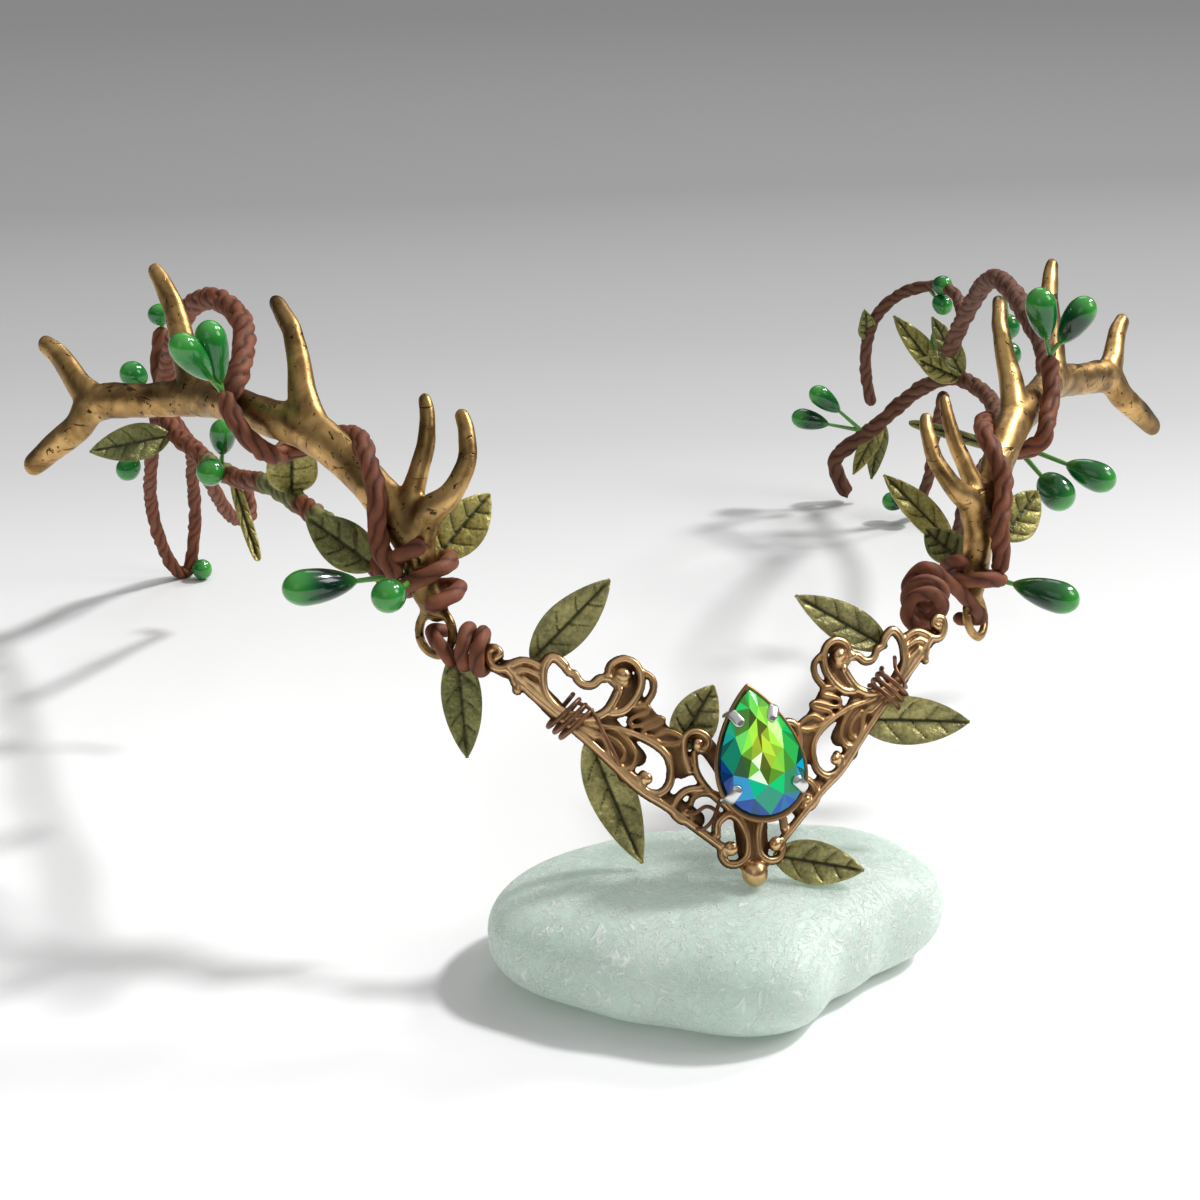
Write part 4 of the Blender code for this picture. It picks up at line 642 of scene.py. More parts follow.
bars = []
for name, rows in ANTLER_BARS.items():
    scale = np.array([ANTLER_LENGTH, ANTLER_HEIGHT, BEAM_WIDTH / BEAM_FLATNESS, BEAM_WIDTH / 2])
    run = smooth_run(np.array(rows) * scale, 0.8)
    taper = 0.0 if name == "beam" else TINE_TAPER
    slender = 0.97 - taper * np.linspace(0, 1, len(run)) ** 0.5
    bars.append(rod(run[:, :3], run[:, 3] * slender, 24, BEAM_FLATNESS))
turn = np.linspace(0, 2 * np.pi, 60)
loop_radius = (LOOP_DIAMETER - LOOP_WIRE) / 2
loop_path = np.stack([LOOP_PLACE[0] * ANTLER_LENGTH + loop_radius * np.cos(turn),
                      LOOP_PLACE[1] * ANTLER_HEIGHT + loop_radius * np.sin(turn), 0 * turn], axis=-1)
bars.append(rod(loop_path, LOOP_WIRE / 2, 16))
casting, casting_faces = cast_together(bars, ANTLER_GRAIN, ANTLER_SMOOTHING)
casting[:, 2] += ANTLER_WAVE * np.sin(casting[:, 0] * 0.9 + 1.7 * np.sin(casting[:, 1] * 0.7))
casting[:, 1] += ANTLER_WAVE * np.sin(casting[:, 0] * 1.3 + casting[:, 2] * 1.1)

brass = finish("antique_brass", Metallic=1.0)
mottle = ramp(brass, noise(brass, 210, 5.0, 0.62, 0.6), (0.30, BRASS_DARK), (0.46, BRASS_MIDDLE),
              (0.70, BRASS_BRIGHT))
smears = ramp(brass, noise(brass, 85, 3.0, 0.5, 1.0), (0.36, 0.45), (0.60, 1.0))
pits = ramp(brass, noise(brass, 850, 2.0, 0.5, 1.0), (0.31, 0.14), (0.36, 1.0))
dashes = ramp(brass, noise(brass, 300, 2.0, 0.5, 0.8, stretch=(0.5, 0.5, 2.6)), (0.28, 0.25), (0.33, 1.0))
holes = blend(brass, 1.0, pits, dashes, "MULTIPLY")
smeared = blend(brass, 1.0, mottle, smears, "MULTIPLY")
send(brass, blend(brass, 1.0, smeared, holes, "MULTIPLY"), "Base Color")
send(brass, ramp(brass, noise(brass, 240, 3.0), (0.3, 0.33), (0.7, 0.47)), "Roughness")
emboss(brass, 0.35, 0.2, holes, noise(brass, 420, 3.0))
for side in ANTLER_POSE:
    lay_mesh("brass_antler_" + side, on_antler(side, casting), casting_faces, brass, "antique_brass",
             "antler_" + side, flip=ANTLER_POSE[side]["side"] < 0)


# Twisted vines
# Strands of reddish-brown clay are twisted over a wire core and baked. The band closes the ring low at the
# back, other vines climb the antlers and arch behind them, and short turns tie the antlers' feet and loops
# to the front.
BAND_VINE = 3.3
CLIMB_VINE = 2.8
ARCH_VINE = 3.4
BACK_VINE = 2.5
WRAP_VINE = 2.3
COIL_VINE = 2.0
COIL_BORE = 1.6
BINDING_WIRE = 0.7
VINE_SIDES = 40
TWIST_STRANDS = 4
TWIST_PITCH = 5.4
GROOVE_DEPTH = 0.30
WRAP_STRANDS = 2
WRAP_GROOVE_DEPTH = 0.16
# The darkest clay and sleeve colours are painted shade at the bottoms of the grooves between strands
CLAY_LIGHT = (0.25, 0.085, 0.042, 1)
CLAY = (0.15, 0.047, 0.024, 1)
CLAY_GROOVE_SHADE = (0.03, 0.01, 0.007, 1)
SLEEVE_LIGHT = (0.22, 0.23, 0.085, 1)
SLEEVE_GREEN = (0.13, 0.14, 0.045, 1)
SLEEVE_GROOVE_SHADE = (0.03, 0.035, 0.012, 1)
# Routes through crown points, with their diameters
RING_VINES = {
    "vine_band_left": (BAND_VINE, [(-46.4, 31.8, 37.6), (-48.8, 38.5, 40.6), (-51.0, 48.5, 41.2),
        (-53.0, 60.5, 39.8), (-57.0, 75.5, 40.3), (-61.0, 90.5, 40.2), (-65.5, 105.5, 38.0),
        (-69.5, 120.5, 37.0), (-72.5, 135.5, 37.0), (-76.5, 152.5, 37.5), (-78.0, 165.5, 41.0),
        (-78.5, 170.5, 48.0), (-77.5, 170.5, 54.5)]),
    "arch_vine_left": (ARCH_VINE, [(-67.4, 60.0, 60.6), (-64.8, 68.5, 65.6), (-64.5, 79.0, 69.5),
        (-68.0, 93.5, 71.0), (-72.0, 109.0, 67.5), (-74.5, 123.5, 61.0), (-76.5, 139.0, 52.5),
        (-78.5, 148.5, 44.0), (-80.5, 154.5, 41.0)]),
    "floor_loop_left": (BACK_VINE, [(-79.6, 161.0, 39.0), (-81.5, 170.5, 26.0), (-82.0, 178.5, 18.0),
        (-81.0, 182.5, 9.5), (-78.5, 187.0, 1.5), (-75.5, 189.0, -0.5), (-73.5, 188.5, 11.0),
        (-73.5, 182.5, 21.0), (-73.5, 172.5, 30.0), (-77.0, 161.5, 39.0)]),
    "tendril_left": (BACK_VINE, [(-71.6, 130.5, 35.6), (-69.5, 140.5, 28.0), (-66.5, 152.5, 20.0),
        (-63.0, 158.5, 18.5), (-63.0, 162.5, 23.0)]),
    "vine_band_right": (BAND_VINE, [(41.5, 46.5, 33.0), (46.5, 56.5, 32.5), (54.0, 75.5, 34.5),
        (65.5, 100.5, 34.0), (77.0, 125.5, 32.5), (85.5, 150.5, 32.0), (91.0, 175.5, 32.5),
        (91.0, 195.5, 32.5), (87.5, 205.5, 29.0), (83.5, 210.5, 24.0), (79.0, 212.5, 19.0),
        (74.5, 214.5, 15.0), (70.5, 215.5, 11.0), (71.0, 215.5, 7.0), (73.5, 214.5, 2.0)]),
    "arch_vine_right": (ARCH_VINE, [(67.0, 77.5, 55.0), (70.0, 88.0, 58.5), (72.0, 103.0, 61.5),
        (75.5, 119.0, 62.5), (78.0, 135.0, 63.0), (81.0, 150.5, 60.0), (84.0, 165.5, 54.5),
        (86.0, 178.5, 47.5), (87.5, 190.5, 39.0)]),
    "back_arch_right": (BACK_VINE, [(87.0, 180.0, 47.8), (88.5, 190.5, 51.5), (86.5, 198.5, 52.5),
        (81.5, 204.5, 50.5), (77.5, 208.5, 46.0), (75.5, 210.5, 40.0), (75.5, 211.5, 32.0),
        (77.0, 211.0, 24.0)]),
    "drop_right": (BACK_VINE, [(89.5, 198.0, 29.0), (87.5, 197.5, 18.5), (87.0, 198.5, 9.0),
        (84.0, 200.5, -0.5)]),
}
# Routes through an antler's own points in millimetres outwards, upwards and through
ANTLER_VINES = {
    "climb_vine_left": ("left", [(3.6, 6.2, -5.4), (6.6, 9.4, -6.2), (8.0, 13.0, -6.4), (9.0, 17.4, -6.3),
        (13.4, 21.9, -4.4), (18.8, 23.6, -0.8), (25.2, 22.9, 2.6), (31.5, 20.6, 3.2), (35.2, 18.4, 1.0),
        (34.0, 18.6, -3.6), (35.8, 20.9, -6.6), (38.4, 22.8, -6.6), (40.5, 24.7, -6.4),
        (42.0, 26.2, -6.2)]),
    "climb_vine_right": ("right", [(2.4, 4.4, -4.6), (2.6, 8.0, -5.7), (2.6, 11.2, -6.2), (5.6, 14.8, -6.6),
        (7.8, 18.1, -6.5), (9.6, 21.9, -5.2), (13.0, 23.8, -3.0), (21.9, 24.3, 0.6), (31.0, 22.6, 3.2),
        (33.6, 19.0, 2.6), (28.4, 17.6, -1.6), (26.6, 19.0, -6.2), (29.6, 22.0, -6.9), (33.8, 25.2, -6.8),
        (36.5, 28.5, -6.4), (37.7, 30.1, -6.2)]),
}
# Turns round an antler's stem: first and last height, turns, and the bearing at the start in degrees
STEM_WRAPS = {
    "base_wrap_left": {"side": "left", "low": 2.8, "high": 10.8, "turns": 2.1, "start": 210.0},
    "base_wrap_right": {"side": "right", "low": 3.0, "high": 6.4, "turns": 1.3, "start": 150.0},
}
# Turns between an antler's loop and the filigree's end: the coil's axis in crown points, its turns and
# first bearing
COILS = {
    "coil_left": {"side": "left", "axis": [(-38.4, 24.6, 30.6), (-33.9, 22.2, 29.3)],
        "turns": 2.3, "start": 20.0},
    "coil_right": {"side": "right", "axis": [(33.6, 34.4, 32.2), (30.8, 25.6, 30.0)],
        "turns": 2.6, "start": 240.0},
}
# Place sideways and upwards on a wing that its coil runs on to
WING_END = (32.6, 29.6)
# Parts of the left band, as shares of its length, that are sleeved in leaf clay
SLEEVES = [(0.13, 0.24), (0.29, 0.41), (0.54, 0.63)]


def twisted_vine(node, path, diameter, clay, strands=TWIST_STRANDS, depth=GROOVE_DEPTH):
    """Rope profile carried along a path: its radius dips in a sharp groove between strands, and the
    profile turns once every few diameters, a little unevenly. The mark keeps how deep a point lies in
    its groove."""
    run = lengths_along(path)[:, None]
    bearing = np.linspace(0, 2 * np.pi, VINE_SIDES, endpoint=False)[None, :]
    pitch = diameter * TWIST_PITCH
    phase = bearing - 2 * np.pi * run / pitch
    phase = phase + 0.35 * np.sin(run * 0.55) + 0.2 * np.sin(run * 1.3 + bearing)
    lobe = np.abs(np.cos(phase * strands / 2)) ** 0.5
    uneven = 1 + 0.05 * np.sin(run * 0.8 + 2 * bearing) + 0.04 * np.sin(run * 2.1 - bearing)
    end = np.clip(np.minimum(run, run[-1] - run) / (diameter * 0.45), 0, 1)
    rounded = np.sqrt(1 - (1 - np.maximum(end, 0.12)) ** 2)
    radius = diameter / 2 * 1.07 * (1 - depth * (1 - lobe)) * uneven * rounded
    grid = path[:, None] + rims_along(path, VINE_SIDES) * radius[..., None]
    grid[..., 2] = np.maximum(grid[..., 2], 0.02)
    # The clay finishes use the groove mark to paint shade into the grooves
    lay("twisted_" + node, [grid], clay, "vine_clay", node, groove=[lobe],
        run=[run / run[-1] + 0 * bearing])


def helix(start, end, radius, turns, first):
    """Turns of one radius round an axis from start to end, starting at a bearing in degrees."""
    axis = end - start
    along = axis / np.linalg.norm(axis)
    across = np.cross(along, (0.0, 0.0, 1.0))
    if np.linalg.norm(across) < 0.3:
        across = np.cross(along, (0.0, 1.0, 0.0))
    across /= np.linalg.norm(across)
    share = np.linspace(0, 1, round(turns * 12) + 1)[:, None]
    bearing = np.radians(first) + 2 * np.pi * turns * share
    rim = np.cos(bearing) * across + np.sin(bearing) * np.cross(along, across)
    return start + axis * share + radius * rim


def ring_route(name):
    diameter, points = RING_VINES[name]
    path = smooth_run(crown(points), 0.45)
    path[:, 2] = np.maximum(path[:, 2], diameter / 2)
    return path


def wrap_route(name):
    """Turns about the antler's stem, between two heights on the line from its foot to its crook."""
    wrap = STEM_WRAPS[name]
    foot, crook = ANTLER_BARS["beam"][0], ANTLER_BARS["beam"][2]
    ends = []
    for height in (wrap["low"], wrap["high"]):
        share = (height / ANTLER_HEIGHT - foot[1]) / (crook[1] - foot[1])
        u = (foot[0] + (crook[0] - foot[0]) * min(share, 1.0)) * ANTLER_LENGTH
        w = (foot[2] + (crook[2] - foot[2]) * share) * BEAM_WIDTH
        ends.append(on_antler(wrap["side"], (u, height, w)))
    radius = BEAM_WIDTH / 2 * (foot[3] + crook[3]) / 2 + WRAP_VINE / 2 + CLEARANCE
    return smooth_run(helix(ends[0], ends[1], radius, wrap["turns"], wrap["start"]), 0.4)


def coil_route(name):
    """From behind the antler's loop, through it, round in turns, and on behind the filigree's wing."""
    row = COILS[name]
    start, end = crown(row["axis"])
    turns = helix(start, end, COIL_BORE + COIL_VINE / 2, row["turns"], row["start"])
    u, v = LOOP_PLACE[0] * ANTLER_LENGTH, LOOP_PLACE[1] * ANTLER_HEIGHT
    lead = on_antler(row["side"], [(u, v, LOOP_DIAMETER * 0.45), (u, v, -LOOP_DIAMETER * 0.1)])
    clear = WING_HALF_DEPTH + COIL_VINE / 2 + CLEARANCE
    side = ANTLER_POSE[row["side"]]["side"]
    s, t = WING_END
    tail = on_wing([(side * (s + COIL_VINE / 2), t, -clear - COIL_VINE / 4),
                    (side * (s - COIL_VINE), t - COIL_VINE / 2, -clear)])
    return smooth_run(np.vstack([lead, turns[::2], tail]), 0.3)


def vine_clay(name, light, middle, dark, sleeves=False):
    """Clay with painted shade that darkens its grooves and leaves it lightest on what stands proud, and
    fine strokes along the strands.
    """
    made = finish(name, Roughness=0.60, Specular_IOR_Level=0.25)
    groove = add(made, "Attribute", attribute_name="groove").outputs["Fac"]
    # Painted shade: the colour darkens deep in the grooves and is lightest on the strands' crowns
    body = ramp(made, groove, (0.0, dark), (0.5, middle), (1.0, light))
    if sleeves:
        place = add(made, "Attribute", attribute_name="run").outputs["Fac"]
        stops = [(0.0, 0.0)]
        for low, high in SLEEVES:
            stops += [(low - 0.008, 0.0), (low + 0.004, 1.0), (high - 0.004, 1.0), (high + 0.008, 0.0)]
        # The leaf-green sleeves get the same painted shade in their grooves
        green = ramp(made, groove, (0.0, SLEEVE_GROOVE_SHADE), (0.5, SLEEVE_GREEN), (1.0, SLEEVE_LIGHT))
        body = blend(made, ramp(made, place, *stops), body, green)
    cloud = ramp(made, noise(made, 260, 4.0, 0.6), (0.3, 0.68), (0.7, 1.08))
    send(made, blend(made, 1.0, body, cloud, "MULTIPLY"), "Base Color")
    emboss(made, 0.5, 0.2, noise(made, 900, 4.0, 0.6), noise(made, 240, 2.0))
    return made


brown_clay = vine_clay("vine_clay", CLAY_LIGHT, CLAY, CLAY_GROOVE_SHADE)
# The dusty clay's darkest colour is painted shade in its grooves as well
grey_clay = vine_clay("dusty_vine_clay", (0.19, 0.078, 0.045, 1), (0.11, 0.045, 0.026, 1),
                      (0.03, 0.012, 0.008, 1))
sleeved_clay = vine_clay("sleeved_vine_clay", CLAY_LIGHT, CLAY, CLAY_GROOVE_SHADE, sleeves=True)
routes = {}
for name, (diameter, points) in RING_VINES.items():
    routes[name] = (ring_route(name), diameter / 2)
    clay = sleeved_clay if name == "vine_band_left" else grey_clay if name.endswith("right") else brown_clay
    twisted_vine(name, routes[name][0], diameter, clay)
for name, (side, points) in ANTLER_VINES.items():
    routes[name] = (smooth_run(on_antler(side, points), 0.4), CLIMB_VINE / 2)
    twisted_vine(name, routes[name][0], CLIMB_VINE, brown_clay)
for name, wrap in STEM_WRAPS.items():
    twisted_vine(name, wrap_route(name), WRAP_VINE, brown_clay, WRAP_STRANDS, WRAP_GROOVE_DEPTH)
    middle = on_antler(wrap["side"], (0.04 * ANTLER_LENGTH, (wrap["low"] + wrap["high"]) / 2, 0.0))
    routes[name] = (np.array([middle, middle + (0.0, 0.0, 0.1)]), (BEAM_WIDTH + WRAP_VINE) / 2)
for name in COILS:
    twisted_vine(name, coil_route(name), COIL_VINE, brown_clay, WRAP_STRANDS, WRAP_GROOVE_DEPTH)
    routes[name] = (crown(COILS[name]["axis"]), COIL_BORE)


# Wire bindings
# Fine brown wire is turned three times round each of the filigree's lower ribs, and holds the front leaves
# there.
BINDING_PLACE = {"centre": (23.8, 22.7), "along": 42.0, "half_width": 3.0}
BINDING_TURNS = 3
BINDING_DEPTH = 1.1
# Wires that run on from the turns over the filigree: places sideways, upwards and in front of it
LOOSE_WIRES = {
    "left": [[(-22.6, 24.8, 1.3), (-20.8, 23.7, 1.5), (-19.4, 20.6, 1.5), (-17.9, 17.2, 1.2),
              (-16.9, 14.8, -0.6)],
             [(-9.6, 10.9, -0.8), (-8.4, 9.6, 1.4), (-6.4, 10.6, 1.6), (-4.9, 9.9, 1.3), (-3.8, 8.8, -0.6)],
             [(-8.8, 8.4, -0.8), (-7.2, 7.5, 1.3), (-5.6, 8.8, 1.6), (-4.4, 11.2, 1.3)]],
    "right": [[(25.6, 27.2, -0.8), (24.9, 25.4, 1.4), (25.8, 23.6, 1.5), (27.0, 22.6, -0.7)]],
}

binding_wire = finish("brown_wire", Metallic=0.7, Roughness=0.42)
send(binding_wire, ramp(binding_wire, noise(binding_wire, 500, 3.0), (0.3, (0.10, 0.045, 0.025, 1)),
                        (0.7, (0.34, 0.16, 0.08, 1))), "Base Color")
share = np.linspace(0, 1, 90)
bearing = 2 * np.pi * BINDING_TURNS * share
slope = np.radians(BINDING_PLACE["along"])
deep = BINDING_DEPTH + CLEARANCE + BINDING_WIRE
forward = BINDING_WIRE * 1.5 * BINDING_TURNS * (share - 0.5)
aside = BINDING_PLACE["half_width"] * np.cos(bearing)
turns = np.stack([BINDING_PLACE["centre"][0] + forward * np.cos(slope) - aside * np.sin(slope),
                  BINDING_PLACE["centre"][1] + forward * np.sin(slope) + aside * np.cos(slope),
                  0.15 * deep + deep * np.sin(bearing)], axis=-1)
for side in ANTLER_POSE:
    mirror = np.array([ANTLER_POSE[side]["side"], 1, 1])
    skins = [rod(on_wing(turns * mirror), BINDING_WIRE / 2, 10)]
    for run in LOOSE_WIRES[side]:
        skins.append(rod(on_wing(smooth_run(run, 0.3)), BINDING_WIRE * 0.42, 10))
    lay("wire_turns_" + side, skins, binding_wire, "binding_wire", "binding_" + side)


# Leaves
# Each leaf is pressed from olive clay over a wire, with a midrib and hooked side veins incised and a
# leathery grain stippled between them. Gold powder was rubbed over what stands proud. They grow from vines
# and behind the filigree.
LEAF_THICKNESS = 0.8
LEAF_FOLD = 0.16
LEAF_TIP_WIDTH = 0.5
LEAF_FACING = (0.0, -1.0, 0.35)
STRAP_WIDTH = 3.0
SIDE_VEINS = 4.2
VEIN_WIDTH = 0.20
MIDRIB_WIDTH = 0.24
VEIN_DEPTH = 0.42
LEAF_PUFF = 0.26
LEAF_OLIVE = (0.20, 0.19, 0.048, 1)
LEAF_GOLD = (0.46, 0.40, 0.12, 1)
# Vein colour: partly a darker clay, partly painted shade in the incised lines
LEAF_VEIN_CLAY_AND_SHADE = (0.06, 0.06, 0.02, 1)
# Carrier, share along it, tip from that place, width and curl
VINE_LEAVES = {
    "leaf_antler_left": ("vine_band_left", 0.32, (0.2, -7.0, 13.0), 7.6, 0.6),
    "leaf_stem_left": ("vine_band_left", 0.02, (-10.4, 3.0, 8.0), 6.5, 0.5),
    "leaf_fork_left": ("base_wrap_left", 0.90, (10.2, 5.5, 9.4), 6.6, 0.8),
    "leaf_far_left": ("vine_band_left", 0.80, (-15.8, -4.0, -1.4), 6.5, 0.8),
    "leaf_strap_left": ("vine_band_left", 0.53, (3.6, -6.0, -13.6), 2.2, -1.2),
    "leaf_coil_left": ("coil_left", 0.05, (0.9, -3.0, -16.4), 5.4, 0.8),
    "leaf_fork_right": ("vine_band_right", 0.03, (-9.8, 9.0, 10.0), 4.6, 0.8),
    "leaf_stem_right": ("base_wrap_right", 0.35, (-5.6, 8.0, 4.6), 5.4, 0.5),
    "leaf_beam_right": ("climb_vine_right", 0.06, (7.4, 6.0, 6.0), 6.2, 0.5),
    "leaf_strap_right": ("vine_band_right", 0.40, (-13.0, 15.0, 1.5), 2.2, 0.8),
    "leaf_upper_right": ("vine_band_right", 0.79, (-11.2, 2.0, 14.0), 5.0, 0.6),
    "leaf_tall_right": ("vine_band_right", 0.74, (-7.0, 3.0, 13.5), 5.0, 0.6),
    "leaf_inner_right": ("vine_band_right", 0.74, (-9.6, 4.0, 4.0), 5.2, 0.6),
    "leaf_arch_right": ("back_arch_right", 0.75, (-1.6, -3.0, 8.2), 3.8, 0.5),
    "leaf_hang_right": ("vine_band_right", 0.885, (-6.6, 0.5, -12.8), 4.2, -0.6),
    "leaf_hang_back": ("vine_band_right", 0.885, (-1.8, 2.2, -14.6), 4.2, -0.6),
}
# Leaves on the filigree: their place on the wing, behind it, then tip, width and curl as above
WING_LEAVES = {
    "leaf_front_left": ((-28.0, 30.4), (11.6, 2.0, 10.8), 6.2, 0.8),
    "leaf_low_left": ((-21.0, 20.4), (6.7, -5.0, -17.8), 6.4, -1.0),
    "leaf_behind_stone": ((-9.0, 18.8), (5.4, 2.0, 8.4), 6.2, 0.5),
    "leaf_front_right": ((24.6, 28.9), (-13.2, 2.0, 8.0), 5.4, 0.8),
    "leaf_low_right": ((18.4, 19.6), (16.6, -1.0, -1.2), 6.6, 0.6),
    "leaf_tip_right": ((3.2, 3.2), (12.2, -3.6, -1.6), 5.8, 0.5),
}


def along_route(path, share):
    """Place at a share of a path's length."""
    run = lengths_along(path)
    return np.stack([np.interp(share * run[-1], run, column) for column in path.T])


def leaf_skin(root, tip, width, curl, phase):
    """Thin closed section carried from root to tip. Its width follows a sine to a power, it folds along
    the middle and curls by a sine, and veins dip by bells about the middle and about slanting lines to
    each side."""
    run = tip - root
    length = np.linalg.norm(run)
    along = run / length
    across = np.cross(along, LEAF_FACING)
    across /= np.linalg.norm(across)
    face = np.cross(across, along)
    share = np.linspace(0, 1, 64)[:, None]
    bearing = np.linspace(0, 2 * np.pi, 72, endpoint=False)[None, :]
    edge = np.sin(np.pi / 2 * np.clip(np.cos(bearing) * 1.04, -1, 1))
    outline = np.sin(np.pi * np.minimum(share, 0.9999) ** 0.82) ** (0.75 if width > STRAP_WIDTH else 0.25)
    half = np.maximum(LEAF_TIP_WIDTH, width * outline * 1.06) / 2
    lift = curl * np.sin(np.pi * share) - LEAF_FOLD * half * (1 - np.abs(edge)) * 2
    lift = lift + 0.35 * np.abs(edge) ** 2 * np.sin(share * 7 + phase) * half / 3
    side = np.where(np.sin(bearing) >= 0, 1.0, -1.0)
    distance = np.abs(edge) * half
    faded = np.clip(8 * (1 - share), 0, 1) * np.clip(12 * share, 0, 1)
    middle = np.exp(-(distance / MIDRIB_WIDTH) ** 2) * faded
    lean_in = 0.17 * (distance / (width / 2)) ** 1.3
    spacing = (share - lean_in) * SIDE_VEINS + 0.5 * (edge > 0) + 0.13 * phase
    away = np.abs(spacing - np.round(spacing)) / SIDE_VEINS * length
    inside = np.clip((0.86 - np.abs(edge)) / 0.12, 0, 1) * (share > 0.08) * (share < 0.9)
    veins = np.exp(-(away / VEIN_WIDTH) ** 2) * inside
    relief = np.maximum(middle, 0.75 * veins)
    puff = LEAF_PUFF * np.abs(np.sin(np.pi * spacing)) ** 0.7 * np.clip((0.95 - np.abs(edge)) / 0.2, 0, 1)
    ends = np.clip(0.55 + 4 * np.minimum(share, 1 - share), 0, 1)
    thick = LEAF_THICKNESS / 2 * np.abs(np.sin(bearing)) ** 0.45 * ends
    height = lift + side * (thick + (puff - VEIN_DEPTH * relief) * np.abs(np.sin(bearing)) ** 0.5)
    place = (root + along * (share * length)[..., None] + across * (edge * half)[..., None]
             + face * height[..., None])
    return place[:, ::-1], np.broadcast_to(relief, height.shape)[:, ::-1]


def leaf_clay(number, olive, gold):
    made = finish(f"leaf_clay_{number}", Metallic=0.4)
    incised = add(made, "Attribute", attribute_name="relief").outputs["Fac"]
    rubbed = ramp(made, noise(made, 150, 3.0, 0.55), (0.28, olive), (0.62, gold))
    grain = ramp(made, noise(made, 1500, 2.0, 0.6), (0.35, 0.72), (0.60, 1.08))
    skin = blend(made, 1.0, rubbed, grain, "MULTIPLY")
    # Darkening of the incised midrib and veins: partly a darker clay, partly painted shade in the lines
    depth = ramp(made, incised, (0.18, 0.0), (0.75, 1.0))
    send(made, blend(made, depth, skin, LEAF_VEIN_CLAY_AND_SHADE), "Base Color")
    send(made, ramp(made, noise(made, 400, 2.0), (0.3, 0.38), (0.7, 0.55)), "Roughness")
    emboss(made, 0.9, 0.3, noise(made, 1300, 2.0, 0.6), noise(made, 500, 2.0))
    return made


leaf_finishes = [
    leaf_clay(1, LEAF_OLIVE, LEAF_GOLD),
    leaf_clay(2, (0.12, 0.135, 0.045, 1), (0.28, 0.28, 0.09, 1)),
    leaf_clay(3, (0.17, 0.165, 0.06, 1), (0.50, 0.45, 0.17, 1)),
]
leaves = []
for name, (carrier, share, offset, width, curl) in VINE_LEAVES.items():
    path, radius = routes[carrier]
    out = np.array(offset) / np.linalg.norm(offset)
    leaves.append((name, along_route(path, share), out * radius * 0.6, offset, width, curl))
for name, ((s, t), offset, width, curl) in WING_LEAVES.items():
    place = on_wing((s, t, -(WING_HALF_DEPTH + CLEARANCE + LEAF_THICKNESS * 0.7)))
    leaves.append((name, place, np.zeros(3), offset, width, curl))
for number, (name, place, start, offset, width, curl) in enumerate(leaves):
    skin, relief = leaf_skin(place + start, place + np.array(offset), width, curl, number * 1.7)
    made = leaf_finishes[2 if name in WING_LEAVES else number % 2]
    lay("clay_" + name, [skin], made, "leaf_clay", name, relief=[relief])


# Glossy buds and berries
# Buds and berries are drops of enamel-green glass on the ends of short wires, dipped so that most are light
# at the tip and the neck, and some almost black in the middle. The wires are wound in with the vine that
# carries them.
SPRIG_STEM = 1.0
# Where a stem leaves its carrier, as a share of the carrier's radius: at the carrier's end, and elsewhere
END_REACH = 0.35
SIDE_REACH = 0.8
FLOOR_GAP = 0.05
